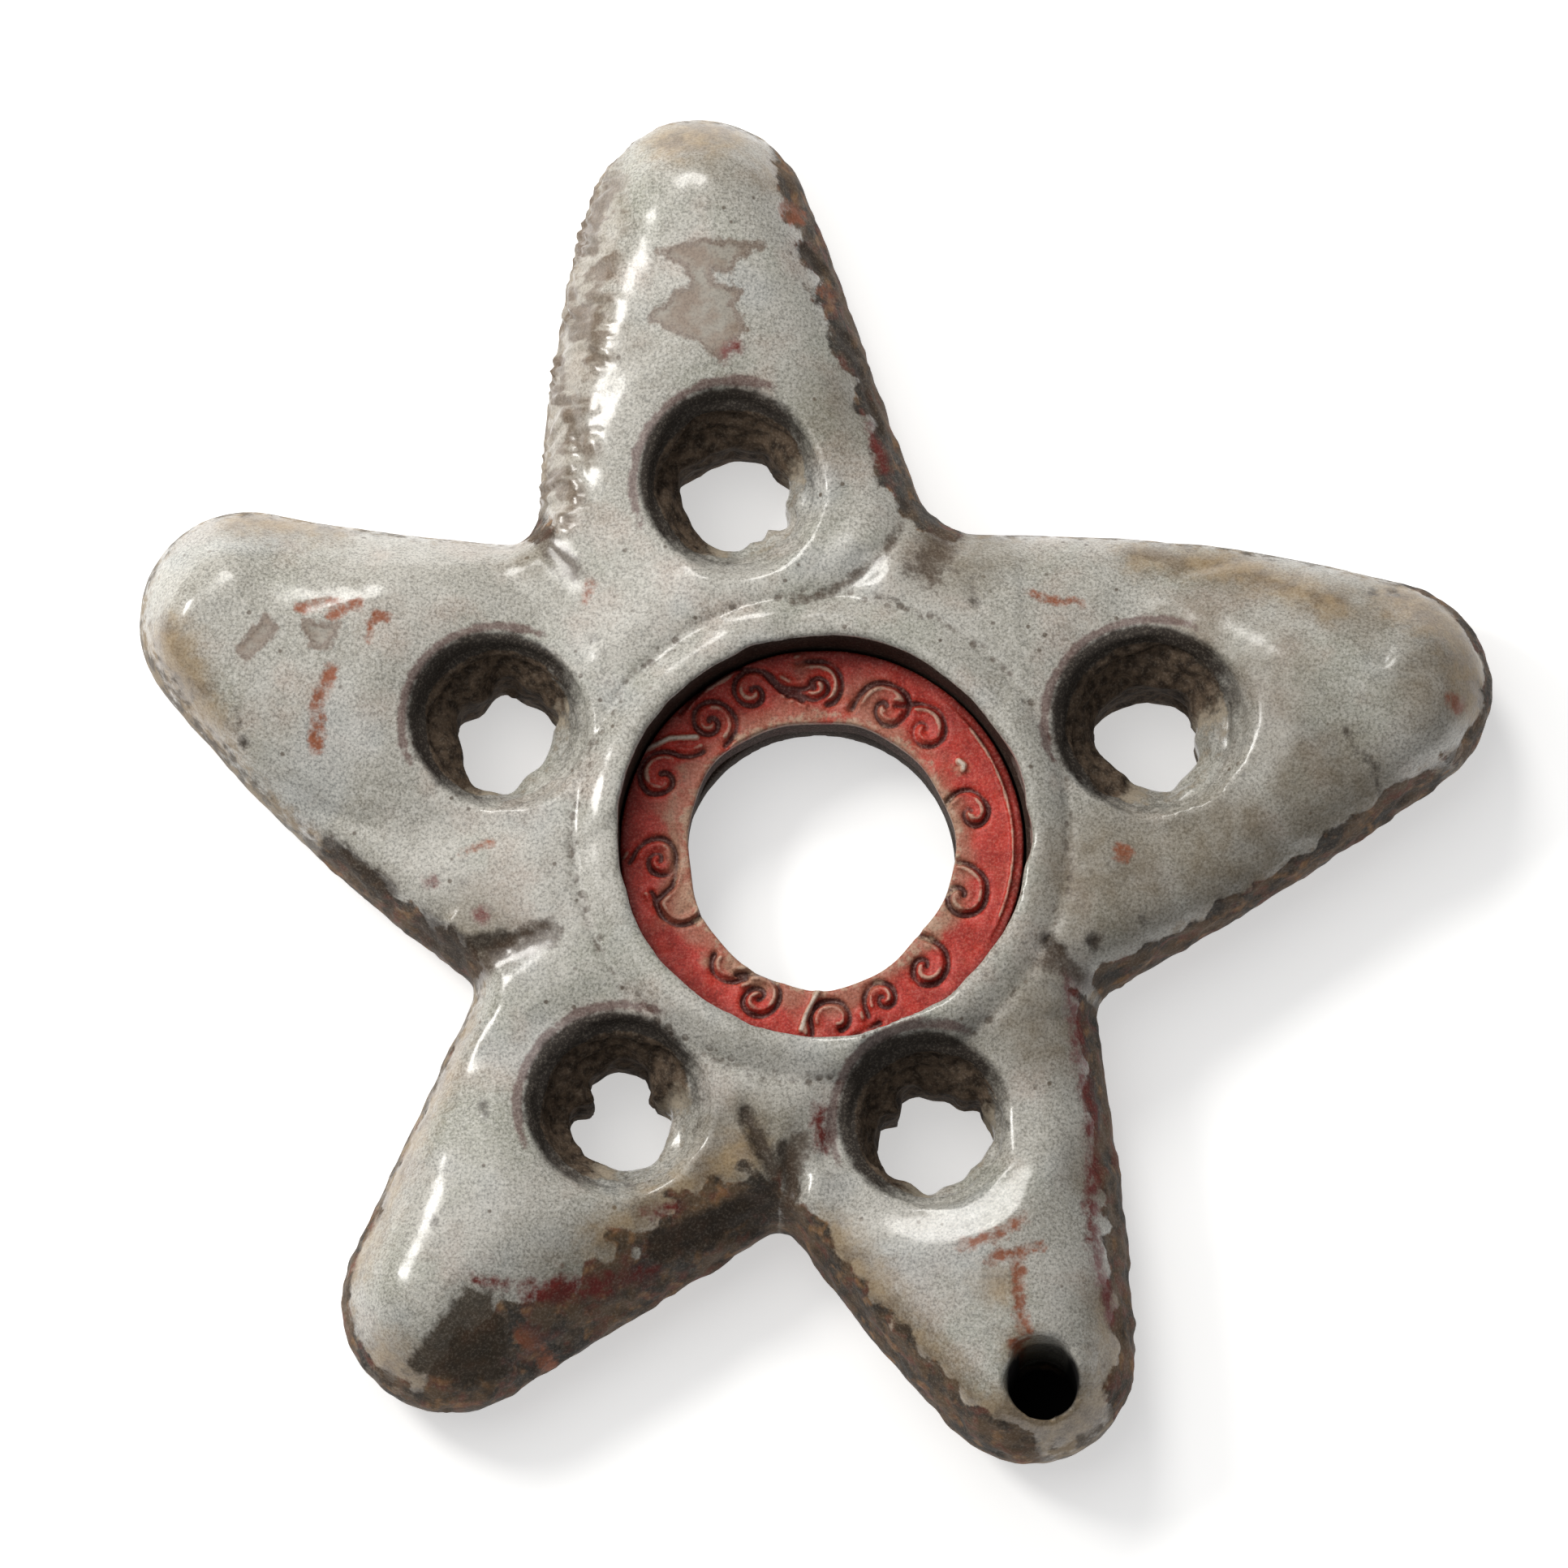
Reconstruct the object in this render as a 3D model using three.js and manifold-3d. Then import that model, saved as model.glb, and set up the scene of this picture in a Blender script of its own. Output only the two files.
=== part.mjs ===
// A star-shaped fired-clay spindle whorl. Five blunt arms leave a round hub; the shaft goes through the hub's
// bore, inside a raised rim that holds a red ring moulded with running scrolls. A dished hole goes through each
// arm's root, and one arm tip has a small blind hole.
// Millimetres, +Z up. The origin is the middle of the underside's box: the whorl lies flat on Z = 0.
import * as THREE from "three";
import { mergeVertices } from "three/addons/utils/BufferGeometryUtils.js";
import Module from "manifold-3d";

const wasm = await Module();
wasm.setup();

// ---------- Driving dimensions ----------

// Heights above the surface that the whorl lies on.
const HEIGHT = { widest: 2.6, shoulder: 5.8, crown: 6.4, ringTop: 4.1, seat: 2.4, rim: 6.6 };
const UNDERSIDE_INSET = 1.7; // how far the flat underside stays in from the widest outline

// The hub: the seat of the ring, and the bore for the shaft, which sits a little off the seat's centre.
const SEAT_CENTRE = new THREE.Vector2(0.2, -2.7);
const BORE_CENTRE = new THREE.Vector2(0.1, -2.9);
const SEAT_RADIUS = 7.6;
const BORE_RADIUS = 5.0;
const BORE_FLARE = 1.0; // the bore's rounding at the underside
const SEAT_FLARE = { depth: 0.5, width: 0.3 }; // the seat's rounded mouth
// The rim's radii, how far its inner edge lies below the crest, and the height and width of its outer slope.
const RIM = { inner: 7.1, edge: 7.6, crest: 8.2, outer: 9.0, base: 3.4, edgeDrop: 0.15 };
const RIM_SLOPE = { width: 0.3, drop: 0.15 };
const GROOVE = { inner: 8.9, middle: 9.2, outer: 9.5, depth: 0.25 };
const RING = { radius: 7.45, bore: 5.05 };

// Each arm ends in a round tip, placed by its bearing and distance from the bore. Its two flanks are arcs of
// the bow radii, the first on the clockwise side. The bevels are the widths of the sloping sides in plan.
const STRAIGHT = 1000; // a bow this large is a straight flank
const ARMS = [
  { bearing: 17.2, reach: 21.8, tip: 4.05, bow: [118, 51], bevel: [0.9, 1.7, 2.4] },
  { bearing: 100.6, reach: 24.35, tip: 4.2, bow: [STRAIGHT, 51], bevel: [1.7, 2.0, 1.8] },
  { bearing: 156.8, reach: 22.9, tip: 4.15, bow: [-68, 59], bevel: [2.9, 2.0, 0.8] },
  { bearing: 230.8, reach: 21.5, tip: 4.0, bow: [STRAIGHT, STRAIGHT], bevel: [1.5, 1.6, 2.4] },
  { bearing: 292.6, reach: 20.25, tip: 3.85, bow: [52, 107], bevel: [0.8, 1.5, 1.9] },
];
// The hollow corner on the clockwise side of each arm, as the circle that rounds it.
const CORNERS = [
  { bearing: 332.8, reach: 12.85, radius: 1.2 },
  { bearing: 67.6, reach: 16.35, radius: 2.85 },
  { bearing: 131.4, reach: 17.5, radius: 1.2 },
  { bearing: 200.3, reach: 14.55, radius: 0.9 },
  { bearing: 264.4, reach: 14.9, radius: 0.9 },
];
const ARC_STEPS = { tip: 10, flank: 6, corner: 4 };

// The dished hole at each arm's root, as [centre x, centre y, mouth radius].
const DISHES = [
  [12.4, 1.6, 3.6],
  [-3.0, 10.7, 3.4],
  [-11.6, 1.6, 3.3],
  [-7.2, -12.8, 3.4],
  [4.2, -13.4, 3.25],
];
// A dish's profile from the underside up, as [radius, height]. Above the ledge, radii are counted from the mouth's
// radius and heights from the crown.
const DISH = {
  fromMiddle: [[2.5, 0], [2.1, 0.35], [2.1, 3.8], [2.45, 4.0]],
  fromMouth: [[-0.55, -1.2], [-0.35, -0.45], [0, -0.1], [0.35, 0.05]],
};
const TIP_HOLE = { x: 8.35, y: -22.8, radius: 1.2, mouth: 1.4, floor: 0.9, mouthDepth: 1.2 };
const ROUND_STEPS = 36;

// The running scrolls on the ring: bearing and distance of each eye from the bore, the spiral's outer radius,
// the direction from the eye in which it starts, and the way it turns inwards (1 is counter-clockwise).
const SCROLLS = [
  { bearing: 14, reach: 5.9, size: 0.9, start: 150, turn: -1 },
  { bearing: 49, reach: 6.1, size: 0.8, start: 270, turn: 1 },
  { bearing: 67, reach: 6.1, size: 0.85, start: 235, turn: 1 },
  { bearing: 92, reach: 6.2, size: 0.9, start: 290, turn: 1 },
  { bearing: 112, reach: 6.45, size: 0.8, start: 0, turn: 1 },
  { bearing: 130, reach: 6.3, size: 0.8, start: 80, turn: 1 },
  { bearing: 155, reach: 6.35, size: 0.8, start: 60, turn: 1 },
  { bearing: 182, reach: 6.1, size: 0.8, start: 290, turn: 1 },
  { bearing: 201, reach: 5.95, size: 0.95, start: 90, turn: 1 },
  { bearing: 222, reach: 5.9, size: 0.9, start: 20, turn: -1 },
  { bearing: 245, reach: 6.0, size: 0.8, start: 130, turn: -1 },
  { bearing: 275, reach: 6.2, size: 0.8, start: 330, turn: 1 },
  { bearing: 295, reach: 6.0, size: 0.75, start: 310, turn: 1 },
  { bearing: 314, reach: 6.0, size: 0.8, start: 100, turn: -1 },
  { bearing: 342, reach: 5.95, size: 1.05, start: 90, turn: -1 },
];
const SCROLL = { turns: 1.2, eye: 0.22, width: 0.3, height: 0.25, sink: 0.3, steps: 12 };

// ---------- Helpers ----------

const radians = THREE.MathUtils.degToRad;

function polar(bearing, reach, centre = BORE_CENTRE) {
  return new THREE.Vector2(Math.cos(radians(bearing)), Math.sin(radians(bearing)))
    .multiplyScalar(reach)
    .add(centre);
}

// A closed three.js geometry as a solid that can be cut and joined.
function solidOf(geometry) {
  const bare = geometry.index ? geometry.toNonIndexed() : geometry.clone();
  bare.deleteAttribute("normal");
  bare.deleteAttribute("uv");
  const merged = mergeVertices(bare, 1e-4);
  return new wasm.Manifold(
    new wasm.Mesh({
      numProp: 3,
      vertProperties: merged.attributes.position.array,
      triVerts: new Uint32Array(merged.index.array),
    }),
  );
}

function geometryOf(solid) {
  const mesh = solid.getMesh();
  const geometry = new THREE.BufferGeometry();
  geometry.setAttribute("position", new THREE.BufferAttribute(mesh.vertProperties, 3));
  geometry.setIndex(new THREE.BufferAttribute(mesh.triVerts, 1));
  geometry.computeVertexNormals();
  return geometry;
}

// A turned solid from its [radius, height] profile, standing on the given centre.
function turned([x, y], profile) {
  const points = profile.map(([radius, height]) => new THREE.Vector2(radius, height));
  const geometry = new THREE.LatheGeometry(points, ROUND_STEPS);
  return solidOf(geometry.rotateX(Math.PI / 2).translate(x, y, 0));
}

// ---------- The star's outline ----------

// The circle of the flank's bow radius that touches the tip's circle and the corner's circle. Its centre is on
// the inner side of the flank, or on the outer side where the bow is negative and the flank is hollow.
function flankCentre(tip, corner, bow, outwards) {
  const toTip = Math.abs(bow - tip.radius);
  const toCorner = Math.abs(bow + corner.radius);
  const along = corner.centre.clone().sub(tip.centre);
  const span = along.length();
  along.divideScalar(span);
  const foot = (toTip ** 2 - toCorner ** 2 + span ** 2) / (2 * span);
  const rise = Math.sqrt(toTip ** 2 - foot ** 2);
  const inner = new THREE.Vector2(-along.y, along.x).multiplyScalar(outwards ? -1 : 1);
  return tip.centre
    .clone()
    .addScaledVector(along, foot)
    .addScaledVector(inner, bow > 0 ? rise : -rise);
}

function bearingOf(from, to) {
  return Math.atan2(to.y - from.y, to.x - from.x);
}

// Points on an arc from one angle to another, with each point's outward normal and the bevel there. The sense
// is 1 for a convex arc, -1 for a hollow one.
function arc(centre, radius, from, to, sense, steps, bevels) {
  const points = [];
  for (let i = 0; i < steps; i++) {
    const share = i / steps;
    const angle = from + (to - from) * share;
    const normal = new THREE.Vector2(Math.cos(angle), Math.sin(angle));
    points.push({
      at: centre.clone().addScaledVector(normal, radius),
      normal: normal.multiplyScalar(sense),
      bevel: bevels(share),
    });
  }
  return points;
}

function turnTo(from, to, sense) {
  const full = 2 * Math.PI;
  const turn = (((to - from) * sense) % full + full) % full;
  return from + sense * turn;
}

function starOutline() {
  const tips = ARMS.map((a) => ({ centre: polar(a.bearing, a.reach), radius: a.tip }));
  const corners = CORNERS.map((c) => ({ centre: polar(c.bearing, c.reach), radius: c.radius }));
  const smooth = (a, b) => (share) => THREE.MathUtils.lerp(a, b, share * share * (3 - 2 * share));
  const points = [];
  ARMS.forEach((arm, i) => {
    const [tip, before, after] = [tips[i], corners[i], corners[(i + 1) % ARMS.length]];
    const previous = ARMS.at(i - 1);
    const [bowOut, bowIn] = arm.bow;
    const [bevelOut, bevelTip, bevelIn] = arm.bevel;
    const centreOut = flankCentre(tip, before, bowOut, true);
    const centreIn = flankCentre(tip, after, bowIn, false);
    const centrePrevious = flankCentre(tips.at(i - 1), before, previous.bow[1], false);

    // The hollow corner, clockwise round its own centre.
    const towards = (centre, bow) => bearingOf(before.centre, centre) + (bow > 0 ? 0 : Math.PI);
    const first = towards(centrePrevious, previous.bow[1]);
    const last = turnTo(first, towards(centreOut, bowOut), -1);
    const cornerBevel = smooth(previous.bevel[2], bevelOut);
    points.push(...arc(before.centre, before.radius, first, last, -1, ARC_STEPS.corner, cornerBevel));

    // The flank out to the tip, the tip, and the flank back in.
    const flank = (centre, bow, start, end, bevel) => {
      const sense = Math.sign(bow);
      const [from, to] = [bearingOf(centre, start.centre), bearingOf(centre, end.centre)];
      const steps = ARC_STEPS.flank;
      points.push(...arc(centre, Math.abs(bow), from, turnTo(from, to, sense), sense, steps, () => bevel));
    };
    flank(centreOut, bowOut, before, tip, bevelOut);
    const leave = bearingOf(centreOut, tip.centre) + (bowOut > 0 ? 0 : Math.PI);
    const meet = turnTo(leave, bearingOf(centreIn, tip.centre) + (bowIn > 0 ? 0 : Math.PI), 1);
    const tipBevel = (share) =>
      share < 0.5 ? smooth(bevelOut, bevelTip)(2 * share) : smooth(bevelTip, bevelIn)(2 * share - 1);
    points.push(...arc(tip.centre, tip.radius, leave, meet, 1, ARC_STEPS.tip, tipBevel));
    flank(centreIn, bowIn, tip, after, bevelIn);
  });
  return points;
}

// ---------- The star body ----------

// The side's profile, from the underside to the crown, as [inset in plan, height]. A profile's inset is a
// share of the local bevel above the widest level, and of the underside's inset below it.
function sideLevels() {
  const levels = [];
  const quarter = Math.PI / 2;
  for (const share of [0, 0.25, 0.5, 0.75]) {
    const inset = 1 - Math.sin(share * quarter);
    const height = HEIGHT.widest * (1 - Math.cos(share * quarter));
    levels.push({ height, inset: () => UNDERSIDE_INSET * inset });
  }
  levels.push({ height: HEIGHT.widest, inset: () => 0 });
  const rise = HEIGHT.shoulder - HEIGHT.widest;
  for (const [share, lift] of [[0.04, 0.16], [0.2, 0.4], [0.6, 0.72], [0.85, 0.92], [1, 1]])
    levels.push({ height: HEIGHT.widest + rise * lift, inset: (bevel) => bevel * share });
  const easing = HEIGHT.crown - HEIGHT.shoulder;
  for (const [reach, lift] of [[0.35, 0.6], [1.0, 1]])
    levels.push({ height: HEIGHT.shoulder + easing * lift, inset: (bevel) => bevel + reach });
  return levels;
}

// Skins the levels from the underside to the crown, and closes both ends.
function starBlank(outline) {
  const levels = sideLevels();
  const count = outline.length;
  const positions = [];
  for (const { height, inset } of levels)
    for (const { at, normal, bevel } of outline) {
      const point = at.clone().addScaledVector(normal, -inset(bevel));
      positions.push(point.x, point.y, height);
    }
  const index = [];
  for (let level = 0; level + 1 < levels.length; level++)
    for (let i = 0; i < count; i++) {
      const next = (i + 1) % count;
      const [a, b] = [level * count + i, level * count + next];
      const [c, d] = [a + count, b + count];
      index.push(a, b, d, a, d, c);
    }
  const close = (level, flip) => {
    const loop = outline.map((_, i) => {
      const k = 3 * (level * count + i);
      return new THREE.Vector2(positions[k], positions[k + 1]);
    });
    for (const [a, b, c] of THREE.ShapeUtils.triangulateShape(loop, [])) {
      const corners = [a, b, c].map((i) => level * count + i);
      index.push(...(flip ? corners.reverse() : corners));
    }
  };
  close(0, true);
  close(levels.length - 1, false);
  const geometry = new THREE.BufferGeometry();
  geometry.setAttribute("position", new THREE.Float32BufferAttribute(positions, 3));
  geometry.setIndex(index);
  return solidOf(geometry);
}

const ABOVE = HEIGHT.rim + 1;
const BELOW = -1;

// The raised rim round the ring, and the shallow groove outside it.
function rimSolid() {
  return turned(SEAT_CENTRE.toArray(), [
    [RIM.inner, RIM.base],
    [RIM.outer, RIM.base],
    [RIM.outer, HEIGHT.crown - RIM_SLOPE.drop],
    [RIM.outer - RIM_SLOPE.width, HEIGHT.crown],
    [RIM.crest, HEIGHT.rim],
    [RIM.edge, HEIGHT.rim - RIM.edgeDrop],
    [RIM.inner, HEIGHT.rim - RIM.edgeDrop],
    [RIM.inner, RIM.base],
  ]);
}

function rimGroove() {
  const floor = HEIGHT.crown - GROOVE.depth;
  return turned(SEAT_CENTRE.toArray(), [
    [GROOVE.inner, floor],
    [GROOVE.middle, floor],
    [GROOVE.outer, HEIGHT.crown],
    [GROOVE.outer, ABOVE],
    [GROOVE.inner, ABOVE],
    [GROOVE.inner, floor],
  ]);
}

function seatCutter() {
  const mouth = SEAT_RADIUS + SEAT_FLARE.width;
  return turned(SEAT_CENTRE.toArray(), [
    [0, HEIGHT.seat],
    [SEAT_RADIUS, HEIGHT.seat],
    [SEAT_RADIUS, HEIGHT.rim - SEAT_FLARE.depth],
    [mouth, HEIGHT.rim],
    [mouth, ABOVE],
    [0, ABOVE],
  ]);
}

function boreCutter() {
  const [widest, halfway] = [BORE_RADIUS + BORE_FLARE, 0.3 * BORE_FLARE];
  return turned(BORE_CENTRE.toArray(), [
    [0, BELOW],
    [widest, BELOW],
    [widest, 0],
    [BORE_RADIUS + halfway, halfway],
    [BORE_RADIUS, BORE_FLARE],
    [BORE_RADIUS, ABOVE],
    [0, ABOVE],
  ]);
}

function dishCutter([x, y, mouth]) {
  const lower = DISH.fromMiddle;
  const upper = DISH.fromMouth.map(([offset, drop]) => [mouth + offset, HEIGHT.crown + drop]);
  return turned([x, y], [
    [0, BELOW],
    [lower[0][0], BELOW],
    ...lower,
    ...upper,
    [upper.at(-1)[0], ABOVE],
    [0, ABOVE],
  ]);
}

function tipHoleCutter() {
  const { x, y, radius, mouth, floor, mouthDepth } = TIP_HOLE;
  return turned([x, y], [
    [0, floor],
    [radius, floor],
    [radius, HEIGHT.crown - mouthDepth],
    [mouth, HEIGHT.crown],
    [mouth, ABOVE],
    [0, ABOVE],
  ]);
}

function starBody() {
  const cutters = [rimGroove(), seatCutter(), boreCutter(), tipHoleCutter(), ...DISHES.map(dishCutter)];
  const whole = starBlank(starOutline()).add(rimSolid());
  return cutters.reduce((body, cutter) => body.subtract(cutter), whole);
}

// ---------- The scroll ring ----------

function annulus(bottom, top) {
  const shape = new THREE.Shape();
  shape.absarc(...SEAT_CENTRE, RING.radius, 0, 2 * Math.PI);
  const bore = new THREE.Path();
  bore.absarc(...BORE_CENTRE, RING.bore, 0, 2 * Math.PI, true);
  shape.holes.push(bore);
  const options = { depth: top - bottom, bevelEnabled: false, curveSegments: ROUND_STEPS / 2 };
  return solidOf(new THREE.ExtrudeGeometry(shape, options).translate(0, 0, bottom));
}

// One raised scroll: a ridge that winds in to its eye and tapers there.
function scrollRidge({ bearing, reach, size, start, turn }) {
  const eye = polar(bearing, reach);
  const [outer, inner] = [[], []];
  for (let i = 0; i <= SCROLL.steps; i++) {
    const share = i / SCROLL.steps;
    const angle = radians(start) + turn * share * SCROLL.turns * 2 * Math.PI;
    const radius = THREE.MathUtils.lerp(size, SCROLL.eye, share);
    const half = (SCROLL.width / 2) * (1 - 0.4 * share);
    const ray = new THREE.Vector2(Math.cos(angle), Math.sin(angle));
    outer.push(eye.clone().addScaledVector(ray, radius + half));
    inner.push(eye.clone().addScaledVector(ray, radius - half));
  }
  const shape = new THREE.Shape([...outer, ...inner.reverse()]);
  const options = { depth: SCROLL.height + SCROLL.sink, bevelEnabled: false };
  const base = HEIGHT.ringTop - SCROLL.sink;
  return solidOf(new THREE.ExtrudeGeometry(shape, options).translate(0, 0, base));
}

function scrollRing() {
  const plate = annulus(HEIGHT.seat, HEIGHT.ringTop);
  const room = annulus(HEIGHT.seat, HEIGHT.ringTop + SCROLL.height);
  return SCROLLS.map(scrollRidge).reduce((ring, ridge) => ring.add(ridge.intersect(room)), plate);
}

// ---------- Materials and scene ----------

const greyGlaze = new THREE.MeshStandardMaterial({ color: 0xa9a8a2, roughness: 0.25, metalness: 0 });
const redSlip = new THREE.MeshStandardMaterial({ color: 0xb23a2a, roughness: 0.55, metalness: 0 });

function piece(name, solid, material) {
  const mesh = new THREE.Mesh(geometryOf(solid), material);
  mesh.name = name;
  return mesh;
}

const whorl = new THREE.Group();
whorl.add(piece("star_body", starBody(), greyGlaze));
whorl.add(piece("scroll_ring", scrollRing(), redSlip));

export default whorl;
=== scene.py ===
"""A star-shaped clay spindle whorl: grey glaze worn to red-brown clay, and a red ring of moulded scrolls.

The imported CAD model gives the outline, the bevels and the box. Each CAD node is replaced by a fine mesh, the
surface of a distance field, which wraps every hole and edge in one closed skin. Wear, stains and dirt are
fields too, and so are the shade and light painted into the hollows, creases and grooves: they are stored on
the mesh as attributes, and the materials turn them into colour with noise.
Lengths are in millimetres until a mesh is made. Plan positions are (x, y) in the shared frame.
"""
import itertools
import math

import bpy
import numpy as np
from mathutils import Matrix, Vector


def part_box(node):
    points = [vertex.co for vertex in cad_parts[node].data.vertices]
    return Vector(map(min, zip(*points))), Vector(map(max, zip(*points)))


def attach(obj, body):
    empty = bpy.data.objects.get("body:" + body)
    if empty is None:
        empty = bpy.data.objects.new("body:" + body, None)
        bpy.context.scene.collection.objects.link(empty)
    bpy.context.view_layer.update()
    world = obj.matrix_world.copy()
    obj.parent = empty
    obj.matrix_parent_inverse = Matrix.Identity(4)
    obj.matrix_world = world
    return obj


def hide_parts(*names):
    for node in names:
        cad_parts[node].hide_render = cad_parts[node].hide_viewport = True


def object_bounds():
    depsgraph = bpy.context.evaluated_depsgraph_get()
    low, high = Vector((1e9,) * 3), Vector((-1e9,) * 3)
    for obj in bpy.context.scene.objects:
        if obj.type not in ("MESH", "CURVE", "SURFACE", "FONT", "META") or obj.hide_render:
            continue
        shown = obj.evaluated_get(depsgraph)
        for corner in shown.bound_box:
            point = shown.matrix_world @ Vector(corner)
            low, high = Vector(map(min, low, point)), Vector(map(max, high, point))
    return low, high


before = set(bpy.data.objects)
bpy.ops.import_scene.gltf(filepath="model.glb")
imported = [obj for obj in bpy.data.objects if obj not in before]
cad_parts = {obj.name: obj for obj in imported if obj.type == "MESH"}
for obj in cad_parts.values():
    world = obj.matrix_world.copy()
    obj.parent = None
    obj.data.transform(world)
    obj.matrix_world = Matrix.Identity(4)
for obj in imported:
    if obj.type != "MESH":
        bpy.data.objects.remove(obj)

import openvdb
from mathutils import Vector, kdtree

cad_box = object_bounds()
MM = 0.001

# ---------- Sizes shared with the CAD model, in millimetres ----------

UNDERSIDE, TOP = cad_box[0][2] / MM, cad_box[1][2] / MM
WIDEST, SHOULDER = 2.6, 5.8  # heights of the widest outline and of the bevels' upper edge
HUB_TOP, ARM_TOP = 6.05, 6.45
HUB_REACH, HUB_FALL = 10.5, 0.16  # the hub falls away past this reach, by this much a millimetre
ARM_HALF, ARM_FALL, ARM_CURVE = 5.3, 0.9, 22  # an arm is a pillow that falls away past its half width
RIM = {"height": 0.32, "inner": (7.0, 7.7), "outer": (8.05, 9.15)}  # reaches from the seat's centre
RIM_GROOVE = {"reach": 9.15, "half": 0.16, "depth": 0.1}
UNDERSIDE_INSET = 1.7
RING_BOX = [np.array(corner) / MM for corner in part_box("scroll_ring")]
SEAT_CENTRE = (RING_BOX[0] + RING_BOX[1])[:2] / 2
SEAT_RADIUS, SEAT_FLOOR = 7.55, RING_BOX[0][2]
RING_RADIUS = (RING_BOX[1] - RING_BOX[0])[0] / 2
RING_TOP = 4.1
FACE_LIMIT = 190000  # triangles of the star's mesh
BODY_PITCH, RING_PITCH = (0.17, 0.2), (0.068, 0.08)  # grid steps in plan and in height
BORE_CENTRE = np.array([0.1, -2.9])
BORE_RADIUS = 4.95

# Each arm by the bearing and distance of its tip from the bore; then, for its clockwise side, its tip and its
# other side, how soft the knee between bevel and crown is and the bevel's width against the CAD model's; the
# dished hole at its root as (x, y, mouth radius) with the depth of the hollow round it; and the teeth of clay
# left in the hole, as (bearing, half width in degrees, length).
ARMS = [
    {"bearing": 17.2, "reach": 21.8, "knee": (1.3, 1.0, 1.6), "bevel": (1, 1, 1), "hollow": 0.36,
     "dish": (12.4, 1.6, 3.6), "teeth": [(-3, 14, 0.4), (80, 30, 0.2)]},
    {"bearing": 100.6, "reach": 24.35, "knee": (1.2, 0.7, 0.3), "bevel": (1, 1, 1), "hollow": 0.3,
     "dish": (-3.0, 10.7, 3.4), "teeth": [(-10, 10, 0.35), (45, 10, 0.25), (-47, 12, 0.3)]},
    {"bearing": 156.8, "reach": 22.9, "knee": (0.3, 0.8, 1.0), "bevel": (0.68, 0.85, 1), "hollow": 0.32,
     "dish": (-11.6, 1.6, 3.3), "teeth": [(119, 20, 0.5), (180, 40, 0.4)]},
    {"bearing": 230.8, "reach": 21.5, "knee": (0.35, 0.8, 1.0), "bevel": (0.8, 1, 1), "hollow": 0.36,
     "dish": (-7.2, -12.8, 3.4), "teeth": [(150, 17, 0.75), (35, 17, 0.75), (95, 14, -0.2)]},
    {"bearing": 292.6, "reach": 20.25, "knee": (0.4, 0.8, 1.2), "bevel": (1, 1, 1), "hollow": 0.65,
     "dish": (4.2, -13.4, 3.25), "teeth": [(142, 16, 0.6), (69, 24, 0.5)]},
]
TIP_RADIUS = 4.0
TIP_HOLE = (8.3, -23.0, 1.26)
TIP_HOLE_FLOOR = 1.0
# A dish's wall as heights and radii, then as heights and radii counted from the mouth's radius.
DISH_WALL = [(-1, 2.7), (0.0, 2.5), (0.35, 2.12), (3.5, 2.0), (3.75, 2.1), (3.95, 2.35), (4.2, 2.6)]
DISH_MOUTH = [(4.7, -0.62), (5.2, -0.42), (5.6, -0.2), (5.9, 0.05), (6.3, 0.5), (8.0, 0.8)]
# Where the hollow round a dish ends and starts, counted from the mouth's radius.
HOLLOW_INNER, HOLLOW_OUTER = -0.3, 1.9
# The valleys that run in from the hollow corners: from (x, y) to (x, y), half width and depth at the corner.
VALLEYS = [
    ((10.9, -8.3), (7.6, -6.8), 0.9, 0.55),
    ((5.4, 10.4), (3.4, 6.2), 1.5, 0.6),
    ((-10.6, 9.4), (-8.2, 6.6), 0.9, 0.35),
    ((-12.7, -7.6), (-8.6, -5.6), 1.1, 0.4),
    ((-1.3, -16.9), (-0.3, -12.6), 0.9, 0.7),
]
# Thin creases pressed into the clay: half width, depth and the line's points.
CREASES = [
    (0.5, 0.3, [(-0.8, 6.1), (0.5, 6.5), (1.5, 7.2), (2.5, 8.0), (3.1, 9.2)]),
    (0.4, 0.22, [(8.2, -6.5), (9.4, -7.3), (9.8, -8.2)]),
    (0.4, 0.2, [(-2.6, -12.9), (-1.9, -14.2), (-1.4, -16.2)]),
    (0.35, 0.14, [(0.6, -13.2), (0.2, -14.6), (-0.6, -15.8)]),
    (0.25, 0.1, [(5.7, 7.0), (5.9, 5.9)]),
]
CHIPPED_RIM = [(7.6, 0.6), (7.8, -2.6)]
# Bites out of the edge: (x, y, height, radius).
CHIPS = [
    (-7.5, 24.2, 3.0, 0.75), (-6.6, 24.9, 3.2, 0.6), (-8.2, 23.1, 3.1, 0.45), (11.1, -25.0, 2.8, 0.8),
    (11.9, -23.9, 3.0, 0.55), (11.9, -22.6, 3.2, 0.4), (21.9, 8.3, 4.3, 0.5), (-17.4, 10.1, 3.6, 0.45),
]
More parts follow.
